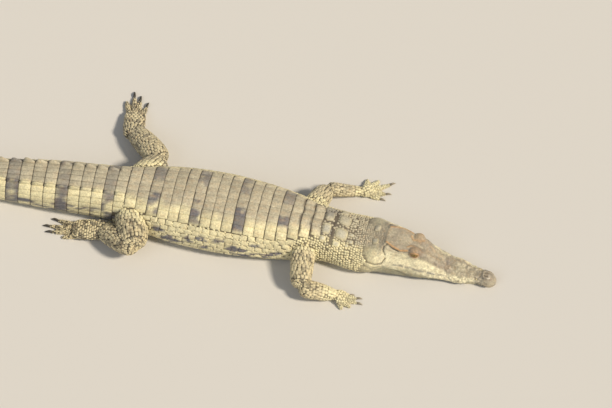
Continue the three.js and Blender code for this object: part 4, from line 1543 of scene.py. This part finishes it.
@dataclass
class Coat:
    """Scales of one part of the animal, as one joined mesh."""

    name: str
    kind: Kind
    slot: str
    surface: Surface
    unwrap: Callable[[Array, Array], Array]
    scales: list[Scale] = field(default_factory=list)
    sink: float = SCALE_SINK

    def add(
        self, along: float, across: float, long: float, wide: float, high: float, keel: float = 0.0,
        spin: float = 4.0, shrink: float = 0.06,
    ) -> None:
        """Adds a scale, with a little variety.

        Args:
            along: Where its middle is along the surface.
            across: Where its middle is across it.
            long: Its length.
            wide: Its width.
            high: How far it stands up.
            keel: How much higher its keel is.
            spin: How far it may be turned, in degrees.
            shrink: How much smaller it may be, as a share.
        """
        vary = RNG.random(5)
        size = 0.5 * (1 - shrink * vary[:2])
        turned = math.radians(spin) * (2 * vary[2] - 1)
        high = high * (0.85 + 0.3 * vary[3])
        self.scales.append(Scale(along, across, long * size[0], wide * size[1], high, keel, turned, vary[4]))

    def row(self, station: float, start: float, wide: float, count: int, *scale: float) -> None:
        """Adds a row of scales down both sides.

        Args:
            station: Where the row lies.
            start: How far it starts from the ridge of the back.
            wide: How far apart its scales are.
            count: How many there are on each side.
            scale: The length of each, its width, and the rest of what a scale is added with.
        """
        for side in (1, -1):
            for i in range(count):
                self.add(station, side * (start + (i + 0.5) * wide), *scale)

    def build(self, skin: Skin, finish: bpy.types.Material, reach: float = 3.2) -> bpy.types.Object:
        """Lays the scales on the skin and joins them into one piece.

        Args:
            skin: The skin that they lie on.
            finish: Their material.
            reach: How far from the skin a scale's place may be, in millimetres, before it is left out.

        Returns:
            The piece.
        """
        table = np.array(self.scales)
        middle = self.surface.points(table[:, 0], table[:, 1])
        facing = normals(self.surface, table[:, 0], table[:, 1])
        found = [skin.tree.find_nearest(Vector(point)) for point in middle]
        agree = [normal.dot(Vector(front)) > 0.45 for (_, normal, _, _), front in zip(found, facing)]
        keep = np.array([gap < reach for *_, gap in found]) & np.array(agree)
        room = np.minimum(table[:, 2], table[:, 3])
        keep &= [bool(on) and skin.claim(m, r) for on, m, r in zip(keep, middle, room)]
        table, middle = table[keep], middle[keep]
        placed, body, keel, edge, seam, faces = self.kind.value.shape()
        count, each = len(table), len(placed)
        cosine, sine = np.cos(table[:, 6])[:, None], np.sin(table[:, 6])[:, None]
        x, y = placed[None, :, 0] * table[:, 2, None], placed[None, :, 1] * table[:, 3, None]
        along = (table[:, 0, None] + x * cosine - y * sine).ravel()
        across = (table[:, 1, None] + x * sine + y * cosine).ravel()
        points = self.surface.points(along, across)
        facing = normals(self.surface, along, across)
        points, facing = self.conform(skin, points, facing)
        lift = body[None] * table[:, 4, None] + keel[None] * table[:, 5, None]
        lift = np.where((edge < 0.999)[None], lift, -self.sink)
        if self.kind.value.crest:
            facing = np.repeat(self.lean(table, skin.body), each, 0)
        points = points + facing * lift.ravel()[:, None]
        points[:, 2] = np.maximum(points[:, 2], 0.05)
        tone = np.repeat(0.9 + 0.2 * RNG.random(count), each)[:, None]
        if self.kind is Kind.BEAD:
            tint = np.repeat(skin.markings.colours(middle, table[:, 7]), each, 0) * tone
        else:
            rows = np.repeat(table[:, 0], each) if self.kind in (Kind.SCUTE, Kind.PLATE, Kind.BLADE) else None
            tint = skin.markings.colours(points, np.repeat(table[:, 7], each), rows) * tone
        if self.kind is Kind.SCUTE:
            tint = mixed(tint, hue(Hue.RIM), np.tile(0.16 * keel, count))
        if self.kind is Kind.BOSS:
            # The bosses' own pale tops and rims, drawn stronger on the near side, toward the light: partly
            # painted highlight
            lit = np.repeat(np.where(table[:, 1] > 0, 1.0, 0.4), each)
            tint = mixed(tint, hue(Hue.BOSS), lit * np.tile(0.75 * (1 - smooth(0.3, 0.7, edge)), count))
            tint = mixed(tint, hue(Hue.FLANK), lit * np.tile(0.65 * smooth(0.6, 0.9, edge), count))
        made = self.mesh(points, faces, each, count)
        paint(made.data, "tint", "FLOAT_COLOR", np.concatenate([tint, np.ones((count * each, 1))], 1))
        paint(made.data, "rim", "FLOAT", np.tile(seam, count))
        self.map(made.data, table, placed, faces)
        return dress(made, finish, self.slot)

    def lean(self, table: Array, body: Body) -> Array:
        """The way that each blade of the crest leans: up, outwards, and a little towards the rear.

        Args:
            table: The scales, a row for each.
            body: The body that they stand on.

        Returns:
            A unit vector for each.
        """
        turn = np.radians(body.heading(table[:, 0]))
        side = np.sign(np.round(table[:, 1], 3)) * math.tan(math.radians(CREST_LEAN))
        cosine, sine = np.cos(turn), np.sin(turn)
        ahead, aside = sine * side - 0.1 * cosine, -cosine * side - 0.1 * sine
        return unit(np.stack([ahead, aside, np.ones(len(turn))], 1))

    def conform(self, skin: Skin, points: Array, facing: Array) -> tuple[Array, Array]:
        """Moves points onto the skin, and keeps their normals where the two agree.

        Args:
            skin: The skin.
            points: Places beside it, in millimetres.
            facing: The normals there.

        Returns:
            The points on the skin and their normals.
        """
        spots, fronts = points.copy(), facing.copy()
        for i, point in enumerate(points):
            spot, normal, *_ = skin.tree.find_nearest(Vector(point))
            spots[i] = spot
            if normal.dot(Vector(facing[i])) < 0.6:
                fronts[i] = normal
        return spots, unit(fronts)

    def mesh(self, points: Array, faces: list[list[int]], each: int, count: int) -> bpy.types.Object:
        """Joins copies of one scale's faces over all the points.

        Args:
            points: The vertices of every scale, in millimetres.
            faces: The faces of one scale.
            each: How many vertices a scale has.
            count: How many scales there are.

        Returns:
            The new object.
        """
        sizes = np.tile([len(face) for face in faces], count)
        loops = np.concatenate([np.array(face) for face in faces])
        corners = (loops[None] + np.arange(count)[:, None] * each).ravel()
        mesh = bpy.data.meshes.new(self.name)
        mesh.vertices.add(len(points))
        mesh.vertices.foreach_set("co", (points * MM).astype(np.float32).ravel())
        mesh.loops.add(len(corners))
        mesh.loops.foreach_set("vertex_index", corners.astype(np.int32))
        mesh.polygons.add(len(sizes))
        mesh.polygons.foreach_set("loop_start", np.concatenate([[0], np.cumsum(sizes)[:-1]]).astype(np.int32))
        mesh.polygons.foreach_set("use_smooth", np.ones(len(sizes), bool))
        mesh.update(calc_edges=True)
        mesh.validate()
        made = bpy.data.objects.new(self.name, mesh)
        bpy.context.scene.collection.objects.link(made)
        return made

    def map(self, mesh: bpy.types.Mesh, table: Array, placed: Array, faces: list[list[int]]) -> None:
        """Gives each scale a small patch at its root's place on the unwrapped skin.

        Args:
            mesh: The joined mesh.
            table: The scales, a row for each.
            placed: One scale's vertices, seen from above.
            faces: One scale's faces.
        """
        roots = self.unwrap(table[:, 0], table[:, 1])
        patch = placed * 0.0014
        loops = np.concatenate([np.array(face) for face in faces])
        uv = roots[:, None] + patch[loops][None]
        layer = mesh.uv_layers.new(name="OFBake")
        layer.data.foreach_set("uv", uv.astype(np.float32).ravel())


@dataclass
class Plots:
    """Small flat plots of skin, laid end to end along one axis so that they can be read as a surface."""

    skin: Skin
    centres: Array
    apart: float = 100.0

    def __post_init__(self) -> None:
        """Finds the two directions in which each plot is read, and where it lies on the unwrap."""
        found = [self.skin.tree.find_nearest(Vector(centre)) for centre in self.centres]
        front = unit(np.array([normal for _, normal, _, _ in found], float))
        self.first = unit(np.cross(front, np.array([0.3, 0.9, 0.2])))
        self.second = np.cross(front, self.first)
        station, right = self.skin.body.locate(self.centres)
        self.roots = np.stack([0.02 + station / 2200, 0.75 + right / 2200], 1)

    def points(self, along: Array, across: Array) -> Array:
        """The points by distance along the row of plots and across it.

        Args:
            along: How far along the row.
            across: How far across it.

        Returns:
            The points, in millimetres.
        """
        plot = np.clip(np.round(along / self.apart).astype(int), 0, len(self.centres) - 1)
        aside = (along - plot * self.apart)[:, None]
        return self.centres[plot] + self.first[plot] * aside + self.second[plot] * across[:, None]

    def unwrap(self, along: Array, across: Array) -> Array:
        """Where plots lie on the unwrap."""
        return self.roots[np.clip(np.round(along / self.apart).astype(int), 0, len(self.roots) - 1)]


# ---- eyes, teeth and claws


@dataclass
class Eye:
    """One eye: its ball, and the lids around its almond opening."""

    body: Body
    side: int
    station: float = 219.0
    out: float = 23.0
    height: float = 88.0
    radius: float = 13.0
    lid: float = 1.4
    elevation: float = 14.0
    forward: float = 12.0
    opening: tuple[float, float] = (9.4, 4.6)
    almond: float = 2.2
    lid_sides: int = 64
    lid_profile: tuple[tuple[float, float], ...] = (
        (0.0, -1.2), (0.0, 0.3), (0.7, 1.2), (2.0, 1.7), (3.6, 1.5), (5.4, 0.6), (6.6, -1.4), (3.0, -2.6)
    )
    room: tuple[tuple[float, float], ...] = (
        (-1.0, -3.0), (0.5, -1.5), (2.5, 0.0), (4.6, 0.7), (9.0, 5.0), (12.0, 11.0)
    )
    upper_lid: float = 0.35
    lower_lid: float = 0.75
    stretch: float = 1.22
    fillet: float = 5.0

    def __post_init__(self) -> None:
        """Finds the middle of the ball and the way it looks."""
        at = np.array([self.station])
        self.centre = self.body.place(at, np.array([self.side * self.out]), np.array([self.height]))[0]
        turn = math.radians(float(self.body.heading(self.station)))
        ahead = np.array([math.cos(turn), math.sin(turn), 0.0])
        out = self.side * np.array([math.sin(turn), -math.cos(turn), 0.0])
        lift, swing = math.radians(self.elevation), math.radians(self.forward)
        level = out * math.cos(swing) + ahead * math.sin(swing)
        gaze = level * math.cos(lift) + np.array([0, 0, math.sin(lift)])
        front = unit(ahead - gaze * (ahead @ gaze))
        self.axes = np.array([front, np.cross(gaze, front) * self.side, gaze])

    def local(self, points: Array) -> Array:
        """The points seen from the ball's middle: forwards, upwards and along the gaze."""
        return (points - self.centre) @ self.axes.T

    def edge(self, angle: Array) -> Array:
        """The opening's edge at each angle round it: forwards and upwards from its middle.

        Args:
            angle: In radians.

        Returns:
            The two distances for each.
        """
        wide, high = self.opening
        across = np.cos(angle)
        up = high * (1 - np.abs(across) ** self.almond) * np.where(np.sin(angle) >= 0, 1, -1)
        return np.stack([wide * across, up], -1)

    def beyond(self, local: Array) -> Array:
        """How far each point lies outside the opening of the lids, less than nothing inside it.

        Args:
            local: The points seen from the ball's middle.

        Returns:
            One distance for each point.
        """
        wide, high = self.opening
        across = np.clip(np.abs(local[:, 0]) / wide, 0, 1)
        inside = (across < 1) & (np.abs(local[:, 1]) < high * (1 - across**self.almond))
        edge = self.edge(np.linspace(0, 2 * np.pi, 96, endpoint=False))
        gap = np.linalg.norm(local[:, None, :2] - edge[None], axis=2).min(axis=1)
        return np.where(inside, -gap, gap)

    def ball(self, finish: bpy.types.Material) -> bpy.types.Object:
        """The eyeball.

        Args:
            finish: Its material.

        Returns:
            The piece.
        """
        bm = bmesh.new()
        bmesh.ops.create_uvsphere(bm, u_segments=48, v_segments=32, radius=self.radius - 0.15)
        gaze = np.array([v.co for v in bm.verts], float) / self.radius
        turn = Matrix(self.axes.T.tolist()).to_4x4()
        if turn.determinant() < 0:
            bmesh.ops.reverse_faces(bm, faces=bm.faces)
        bmesh.ops.transform(bm, matrix=Matrix.Translation(Vector(self.centre)) @ turn, verts=bm.verts)
        name = "eye_" + ("right" if self.side > 0 else "left")
        made = object_from(name + "_ball", bm)
        paint(made.data, "gaze", "FLOAT_VECTOR", gaze)
        return dress(made, finish, "eye", name)

    def lids(self, finish: bpy.types.Material, markings: Markings) -> bpy.types.Object:
        """Both lids as one closed ring with a rounded rim.

        Args:
            finish: Their material.
            markings: The pattern of the hide round them.

        Returns:
            The piece.
        """
        sides, profile = self.lid_sides, self.lid_profile
        bm = bmesh.new()
        made = sheet_grid(bm, sides + 1, len(profile) + 1)
        wide, high = self.opening
        points = []
        for i in range(sides + 1):
            angle = 2 * math.pi * i / sides
            x, y = self.edge(np.array(angle))
            direction = unit(np.array([math.cos(angle) * high + x * 0.25, math.sin(angle) * wide]))
            upper = 1.0 + self.upper_lid * max(math.sin(angle), 0)
            width = self.lower_lid if math.sin(angle) < 0 else 1.0
            for spread, rise in (*profile, profile[0]):
                flat = np.array([x, y]) + direction * spread * width
                reach = self.radius + rise * upper
                depth = math.sqrt(max(self.radius**2 - flat @ flat, 9.0))
                points.append(unit(np.array([*flat, depth])) * reach)
        placed = np.array(points) @ self.axes + self.centre
        put(made, placed)
        bmesh.ops.remove_doubles(bm, verts=bm.verts, dist=0.001)
        bmesh.ops.recalc_face_normals(bm, faces=bm.faces)
        ring = object_from(("right" if self.side > 0 else "left") + "_eyelids", bm)
        soften = ring.modifiers.new("soft rims", "SUBSURF")
        soften.levels = soften.render_levels = 1
        applied(ring)
        co = coordinates(ring.data)
        colour = mixed(markings.colours(co, np.full(len(co), 0.5)), hue(Hue.RIM), np.full(len(co), 0.55))
        edge = np.exp(-((np.maximum(self.beyond(self.local(co)), 0) / 1.2) ** 2))
        colour = mixed(colour, hue(Hue.LID), 0.85 * edge)
        paint(ring.data, "tint", "FLOAT_COLOR", np.concatenate([colour, np.ones((len(co), 1))], 1))
        paint(ring.data, "rim", "FLOAT", np.zeros(len(co)))
        return dress(ring, finish, "head_skin")


@dataclass
class Teeth:
    """The teeth that show along the closed mouth, each a slightly curved cone."""

    body: Body
    count: int = 12
    first: float = 18.0
    pitch: float = 15.5
    notch: float = 49.0
    radius: float = 2.2
    length: float = 8.5
    fang_radius: float = 2.6
    fang_length: float = 16.0
    fang_out: float = 17.5
    fang_root: float = 4.0
    notch_room: float = 9.0
    inset: float = 1.4
    gum: float = 2.5

    def build(self, finish: bpy.types.Material) -> bpy.types.Object:
        """Sets every tooth in one piece.

        Args:
            finish: Its material.

        Returns:
            The piece.
        """
        bm = bmesh.new()
        for side in (1, -1):
            for i in range(self.count):
                station = self.first + self.pitch * i
                if abs(station - self.notch) < self.notch_room:
                    continue
                out = float(self.body.jaw_width(station)) - self.radius - self.inset
                height = float(self.body.mouth(station)) + self.gum
                size = 1 + 0.25 * math.sin(i * 2.1)
                self.set(bm, station, side * out, height, self.radius * size, self.length * size)
            height = float(self.body.mouth(self.notch)) - self.fang_root
            self.set(bm, self.notch, side * self.fang_out, height, self.fang_radius, -self.fang_length)
        bmesh.ops.recalc_face_normals(bm, faces=bm.faces)
        made = object_from("teeth", bm)
        paint(made.data, "rim", "FLOAT", np.zeros(len(made.data.vertices)))
        return dress(made, finish, "claw_horn")

    def set(
        self, bm: bmesh.types.BMesh, station: float, right: float, height: float, radius: float, length: float
    ) -> None:
        """Sets a tooth in the jaw.

        Args:
            bm: What it is added to.
            station: How far behind the snout it stands.
            right: How far to the right of the midline.
            height: How high its root lies.
            radius: Its radius.
            length: How far its tip lies below its root, less than nothing where it points up.
        """
        root = self.body.place(np.array([station]), np.array([right]), np.array([height]))[0]
        turn = math.radians(float(self.body.heading(station)))
        back = np.array([-math.cos(turn), -math.sin(turn), 0.0])
        down, lean = np.array([0.0, 0.0, -length]), 0.12 * abs(length) * back
        knots = np.array([root, root + 0.5 * down + 0.2 * lean, root + down + lean])
        size = evenly([radius * 0.9, radius, radius * 0.75, radius * 0.2])
        Flesh(knots, size, size).solid(bm, 12, 10)


@dataclass
class Claws:
    """The claws, each a curved horn that grows out of the end of its toe."""

    legs: tuple[Leg, ...] = LEGS

    def build(self, pale: bpy.types.Material, dark: bpy.types.Material) -> None:
        """Makes every claw and dresses it: pale on the front feet, dark on the hind ones.

        Args:
            pale: The material of the front claws.
            dark: The material of the hind claws.
        """
        for leg in self.legs:
            for i, tip in enumerate(leg.toes[: leg.clawed]):
                bm = bmesh.new()
                horn = leg.horn(tip)
                horn.solid(bm, 20, 18)
                bmesh.ops.recalc_face_normals(bm, faces=bm.faces)
                node = f"claw_{leg.name}_{i + 1}"
                made = object_from(node + "_horn", bm)
                co = coordinates(made.data)
                share = np.linalg.norm(co - horn.path[0], axis=1) / horn.length
                paint(made.data, "rim", "FLOAT", share)
                dress(made, dark if leg.name.startswith("rear") else pale, "claw_horn", node)


# ---- the lie of the scales


@dataclass
class Hide:
    """Every row of scales on the animal, from the nape to the tip of the tail and down the legs."""

    skin: Skin
    finishes: dict[str, bpy.types.Material]
    first_row: float = 488.0
    row_pitch: float = 29.0
    column: float = 23.0
    crest_pitch: Profile = Profile((1010, 30), (1200, 33.5), (1400, 34), (1600, 31), (1800, 26), (2000, 20))
    crest_width: Profile = Profile((1010, 14), (1250, 12), (1450, 8.5), (2050, 7))
    crest_height: Profile = Profile(
        (1010, 8), (1200, 12.5), (1400, 16), (1540, 20), (1700, 22), (1900, 17), (2050, 8)
    )
    crest_out: Profile = Profile((1010, 0.5), (1300, 0.56), (1450, 0.42), (1560, 0.12))
    shield: Profile = Profile((480, 46), (530, 68), (600, 92), (850, 92), (950, 82), (1005, 66))
    bosses: tuple[tuple[float, float, float, float, float], ...] = (
        (420, 22, 36, 34, 3.4), (427, 52, 22, 19, 2.4), (393, 15, 12, 11, 1.8), (392, 35, 14, 12, 2.0),
        (461, 20, 26, 34, 2.6), (466, 49, 20, 16, 1.8), (400, 48, 10, 10, 1.4), (330, 20, 18, 21, 2.2),
    )
    knob: tuple[float, float] = (334.0, 53.0)
    knob_reach: float = 27.0
    flank_start: float = 548.0
    flank_end: float = 998.0
    flank_lines: int = 6
    flank_pitch: float = 20.5
    flank_line: float = 14.6
    bead_start: float = 308.0
    bead_end: float = 1016.0
    bead_pitch: float = 7.8
    belly_start: float = 345.0
    belly_end: float = 1010.0
    throat_end: float = 500.0
    whorl_scale: tuple[float, float] = (15.0, 17.0)
    laid: list[bpy.types.Object] = field(default_factory=list)

    def unwrap(self, along: Array, across: Array) -> Array:
        """Places on the unwrap of head, trunk and tail: true lengths, with the girth laid flat."""
        return np.stack([0.02 + along / 2200, 0.25 + across / 2200], 1)

    def unwrap_leg(self, start: float, top: float, along: Array, across: Array) -> Array:
        """Places on the unwrap of one part of a leg, whose corner lies at start and top."""
        return np.stack([start + along / 1400, top + across / 1400], 1)

    def coat(self, name: str, kind: Kind, slot: str) -> Coat:
        """An empty coat on head, trunk or tail."""
        return Coat(name, kind, slot, self.skin.body, self.unwrap)

    def back(self) -> list[Coat]:
        """The shield of the back and the plates of the nape.

        Returns:
            Two coats.
        """
        shield = self.coat("back_scutes", Kind.SCUTE, "trunk_skin")
        station = self.first_row
        while station < 1000:
            pitch = self.row_pitch + (2.0 if station > 890 else 0.0)
            half = float(self.shield(station))
            columns = 2 * round(half / self.column)
            wide = 2 * half / columns
            for i in range(columns):
                across = (i - (columns - 1) / 2) * wide
                wave = 1.8 * noise.noise(Vector((station / 50, across / 45, 0.0)))
                outer = i in (0, columns - 1)
                high, keel = 1.6 + 1.2 * outer, 1.1 + 1.7 * outer
                shield.add(station + wave, across, pitch * 1.01, wide * 1.05, high, keel, 1.0, 0.02)
            station += pitch
        nape = self.coat("nape_scutes", Kind.BOSS, "trunk_skin")
        for station, across, long, wide, high in self.bosses:
            for side in (1, -1):
                nape.add(station, side * across, long, wide, high, 0.0, 6.0, 0.06)
        return [shield, nape]

    def flanks(self) -> list[Coat]:
        """The oval scales of the sides, with granules on the neck and round the legs.

        Returns:
            Two coats.
        """
        ovals = self.coat("flank_scales", Kind.OVAL, "trunk_skin")
        beads = self.coat("granules", Kind.BEAD, "trunk_skin")
        body = self.skin.body
        for side in (1, -1):
            for line in range(self.flank_lines):
                station = self.flank_start + (10 if line % 2 else 0)
                while station < self.flank_end:
                    pitch = self.flank_pitch + 1.5 * math.sin(line * 1.7)
                    wander = 1.5 * math.sin(station / 37 + line)
                    arc = float(self.shield(station)) + 9.5 + line * self.flank_line + wander
                    if arc < float(body.half_girth(station)) * 0.72:
                        ovals.add(station, side * arc, pitch * 1.07, 16.2, 1.7, 0.5, 5.0, 0.1)
                    station += pitch * (0.96 + 0.08 * RNG.random())
        for side in (1, -1):
            station = self.bead_start
            while station < self.bead_end:
                young = float(1 - smooth(320, 410, station))
                pitch = self.bead_pitch - 3.2 * young
                top = float(self.shield(station)) + 3 if station > 480 else 3.0
                arc = top + (pitch / 2 if int(station / pitch) % 2 else 0)
                end = self.belly_edge(station) * (1 - 0.75 * young**2)
                while arc < end:
                    at, out = np.array([station, arc]) + (1.4 - 0.6 * young) * (2 * RNG.random(2) - 1)
                    high = 1.3 - 0.95 * young
                    on_knob = math.hypot(at - self.knob[0], out - self.knob[1]) < self.knob_reach
                    if not (on_knob or self.on_crease(at, side * out)):
                        beads.add(at, side * out, pitch * 1.12, pitch, high, 0.0, 20.0, 0.18)
                    arc += pitch * 0.97
                station += pitch * 0.92
        return [ovals, beads]

    def belly_edge(self, station: float) -> float:
        """How far from the ridge of the back the belly plates start, as an arc length."""
        return float(self.skin.body.half_girth(station)) * (0.62 if station < self.throat_end else 0.70)

    def on_crease(self, station: Array | float, right: Array | float) -> Array | bool:
        """Whether a place lies in the bare crease between the two rows of the nape's bosses."""
        middle = self.skin.markings.creases[0] + 2.2 * np.sin(right / 9.0)
        return (np.abs(station - middle) < 3.4) & (np.abs(right) < 60)

    def belly(self) -> list[Coat]:
        """The flat square plates of throat and belly.

        Returns:
            One coat.
        """
        plates = self.coat("belly_scales", Kind.PLATE, "trunk_skin")
        body = self.skin.body
        station = self.belly_start
        while station < self.belly_end:
            long, broad = (15.0, 10.0) if station < self.throat_end else (21.0, 15.5)
            girth, start = float(body.half_girth(station)), self.belly_edge(station)
            count = max(3, round((girth - start) / broad))
            wide = (girth - start) / count
            plates.row(station, start, wide, count, long, wide, 1.1, 0.0, 2.0, 0.05)
            station += long
        return [plates]

    def tail(self) -> list[Coat]:
        """The whorls of the tail and the double, then single, crest.

        Returns:
            Two coats.
        """
        sides = self.coat("tail_scales", Kind.PLATE, "tail_skin")
        blades = self.coat("tail_crest", Kind.BLADE, "tail_skin")
        body = self.skin.body
        blades.sink = 3.0
        station = TAIL_START + 18.0
        while station < TAIL_TIP - 10:
            pitch = float(self.crest_pitch(station))
            paired = station < CREST_JOIN
            line = body.arc_out(station, float(self.crest_out(station))) if paired else 0.0
            girth = float(body.half_girth(station))
            for side in (1, -1) if paired else (0,):
                high, wide = float(self.crest_height(station)) + 1.0, float(self.crest_width(station))
                blades.add(station, side * line, pitch * 1.02, wide, high, 0.0, 0.0, 0.0)
            if paired:
                count = max(1, round((line - 5) / self.whorl_scale[0]))
                wide = (line - 4) / count
                sides.row(station, 0.0, wide, count, pitch * 1.02, wide * 1.02, 1.5, 0.7, 1.0, 0.02)
            start = line + 4
            count = max(3, round((girth - start) / self.whorl_scale[1]))
            wide = (girth - start) / count
            sides.row(station, start, wide, count, pitch * 1.02, wide * 1.02, 1.4, 0.4, 1.0, 0.02)
            station += pitch
        return [sides, blades]

    def limbs(self) -> Iterable[tuple[Leg, list[Coat]]]:
        """The scales of each leg: largest on the upper leg, smallest on the toes.

        Returns:
            Each leg with the coats of its parts.
        """
        for number, leg in enumerate(self.skin.legs):
            coats = []
            for part, form in enumerate(leg.flesh()[: 3 + len(leg.toes)]):
                step = (11.0, 9.6, 7.6)[part] if part < 3 else 6.2
                start = 0.02 + 0.24 * number
                top = 0.45 + 0.14 * min(part, 3) + 0.04 * max(part - 3, 0)
                unwrap = partial(self.unwrap_leg, start, top)
                kind = Kind.PEBBLE if part < 2 else Kind.BEAD
                coat = Coat(f"{leg.name}_{part}", kind, "leg_skin", form, unwrap)
                first, last = ((0.08, 0.86), (0.1, 0.94), (0.06, 0.97))[min(part, 2)]
                along, row = form.length * first, 0
                while along < form.length * last:
                    share = along / form.length
                    girth = math.pi * float(form.wide(share) + form.high(share)) / 2
                    count = max(3, round(2 * girth / step))
                    for i in range(count):
                        across = (i + 0.5 * (row % 2)) * 2 * girth / count - girth
                        shift = 0.12 * step * (2 * RNG.random(2) - 1)
                        at, out = along + shift[0], across + shift[1]
                        coat.add(at, out, step * 1.2, step * 1.1, 1.3, 0.0, 14.0, 0.2)
                    along += step * 0.88
                    row += 1
                coats.append(coat)
            yield leg, coats

    def rest(self) -> Iterable[Coat]:
        """Granules wherever the rows leave room, such as the folds where the legs meet the trunk.

        Returns:
            One coat for the trunk and one for the legs.
        """
        points = coordinates(self.skin.obj.data)
        laid = [coordinates(piece.data) for piece in self.laid]
        tree = KDTree(sum(len(part) for part in laid))
        for i, co in enumerate(np.concatenate(laid)):
            tree.insert(co, i)
        tree.balance()
        room = np.array([tree.find(co)[2] for co in points])
        station, right = self.skin.body.locate(points)
        leg = self.skin.markings.leg_share(station, right) > 0.5
        trunk = (station > 366) & (station < TAIL_START + 6) & ~self.on_crease(station, right)
        order = RNG.permutation(np.flatnonzero(trunk | leg))
        for name, limb, slot in (("body_granules", False, "trunk_skin"), ("leg_granules", True, "leg_skin")):
            chosen = order[leg[order] == limb]
            plots = Plots(self.skin, points[chosen])
            coat = Coat(name, Kind.BEAD, slot, plots, plots.unwrap)
            for size in (7.4, 5.6):
                for i in np.flatnonzero(room[chosen] > 0.48 * size):
                    coat.add(i * plots.apart, 0.0, size, size, 1.0, 0.0, 90.0, 0.15)
            yield coat

    def build(self) -> None:
        """Lays the coats in order, the largest scales first."""
        for coat in (*self.back(), *self.tail(), *self.flanks(), *self.belly()):
            finish = "belly" if coat.kind is Kind.PLATE and coat.slot == "trunk_skin" else "scute"
            self.laid.append(coat.build(self.skin, self.finishes[finish]))
        for leg, coats in self.limbs():
            parts = [coat.build(self.skin, self.finishes["leg"]) for coat in coats]
            with bpy.context.temp_override(active_object=parts[0], selected_editable_objects=parts):
                bpy.ops.object.join()
            parts[0].name = leg.name + "_scales"
            self.laid.append(parts[0])
        for coat in self.rest():
            coat.build(self.skin, self.finishes["leg" if coat.slot == "leg_skin" else "scute"])


# ---- stage


@dataclass
class Studio:
    """A pale floor, soft lights and the camera that looks down on the animal."""

    middle: tuple[float, float, float] = (0.510, -0.0104, 0.0)
    frame_width: float = 1.622
    elevation: float = 58.0
    lens: float = 900.0
    sensor: float = 36.0
    floor_size: float = 200.0

    def floor(self) -> None:
        """The floor, a broad pale sheet."""
        bm = bmesh.new()
        bmesh.ops.create_grid(bm, x_segments=1, y_segments=1, size=self.floor_size / MM / 2)
        made = object_from("floor", bm)
        n = Nodes("matt pale studio paper")  # spreads the light evenly and takes a soft shadow
        shader = n.add("BsdfPrincipled", {"Base Color": linear("d9d6d0"), "Roughness": 0.9, "IOR": 1.3})
        n.add("OutputMaterial", {0: shader.outputs[0]})
        made.data.materials.append(n.material)

    def lamp(self, name: str, strength: float, width: float, place: Sequence[float], colour: str) -> None:
        """A broad far lamp that lights animal and floor evenly.

        Args:
            name: What it is called.
            strength: Its light on a surface that faces it, in watts per square metre.
            width: How broad it looks from the animal, in degrees.
            place: A point on the line from the animal to the lamp.
            colour: Its colour.
        """
        light = bpy.data.lights.new(name, "SUN")
        light.energy, light.angle, light.color = strength, math.radians(width), linear(colour)[:3]
        made = bpy.data.objects.new(name, light)
        made.location = place
        made.rotation_euler = (Vector(self.middle) - Vector(place)).to_track_quat("-Z", "Y").to_euler()
        bpy.context.scene.collection.objects.link(made)

    def camera(self) -> None:
        """The camera, far off with a long lens, so that sizes stay true across the frame."""
        data = bpy.data.cameras.new("camera")
        data.lens, data.sensor_width = self.lens, self.sensor
        data.clip_end = 400.0
        made = bpy.data.objects.new("camera", data)
        away = self.frame_width * self.lens / self.sensor
        lift = math.radians(self.elevation)
        made.location = Vector(self.middle) + Vector((0, -math.cos(lift), math.sin(lift))) * away
        made.rotation_euler = (math.pi / 2 - lift, 0.0, 0.0)
        bpy.context.scene.collection.objects.link(made)
        bpy.context.scene.camera = made

    def build(self) -> None:
        """Sets the stage."""
        self.floor()
        self.lamp("key", 3.3, 10.0, (6.6, -3.0, 7.2), "fff3e0")
        self.lamp("fill", 0.4, 35.0, (-4.5, -4.0, 6.0), "e8f0ff")
        world = bpy.data.worlds.new("studio air")
        bpy.context.scene.world = world
        world.use_nodes = True
        world.node_tree.nodes["Background"].inputs[0].default_value = linear("dfe4ea")
        world.node_tree.nodes["Background"].inputs[1].default_value = 0.30
        bpy.context.scene.view_settings.view_transform = "Standard"
        self.camera()


# The solids that the skin stands for: the flesh of the body, and of each limb by its kind of leg.
FLESH_NODES = ("skull", "lower_jaw", "neck", "chest", "belly", "tail_1", "tail_2", "tail_3", "tail_4")
LIMB_PARTS = {"front": ("upper_arm", "forearm", "hand"), "rear": ("thigh", "shank", "foot")}


def main() -> None:
    """Builds the animal from the skin outwards, then the stage."""
    logging.basicConfig(level=logging.INFO, format="%(message)s")
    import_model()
    body = Body()
    markings = Markings(body)
    hide = "living crocodile hide over bone and muscle"
    finishes = {
        # matt bare hide, with faint cells where it cracks
        "skin": HideFinish(hide, 0.0, cell_depth=0.13, bump=0.6).build(),
        # dusty plates, each edged by a dark seam
        "scute": HideFinish("sun dried keratin scutes", 0.95).build(),
        # smoother and a little glossier than the back
        "belly": HideFinish("smooth belly plates polished by sand", 0.5, roughness=0.5, bump=0.35).build(),
        # rough small beads, darker at their edges
        "leg": HideFinish("pebbled keratin of the legs", 0.85).build(),
        # wet and glossy, the brightest gleam on the animal
        "eye": EyeFinish().build(),
        # satin horn, paler on the front feet than on the hind ones
        "pale": HornFinish("pale claw horn worn by walking", "6e665a", "b3a88f").build(),
        "dark": HornFinish("dark claw horn worn by walking", "2e2a26", "57503f").build(),
        # warm ivory with a light gloss
        "tooth": HornFinish("old ivory tooth enamel", "cfc3a0", "efe8d2").build(),
    }
    skin = Skin(body, markings)
    limbs = [f"{part}_{leg.name}" for leg in LEGS for part in LIMB_PARTS[leg.name.split("_")[0]]]
    dress(skin.build(), finishes["skin"], "trunk_skin", *FLESH_NODES, *limbs)
    for side in (1, -1):
        eye = Eye(body, side)
        eye.ball(finishes["eye"])
        eye.lids(finishes["skin"], markings)
    Teeth(body).build(finishes["tooth"])
    Claws().build(finishes["pale"], finishes["dark"])
    Hide(skin, finishes).build()
    Studio().build()


if __name__ == "__main__":
    main()
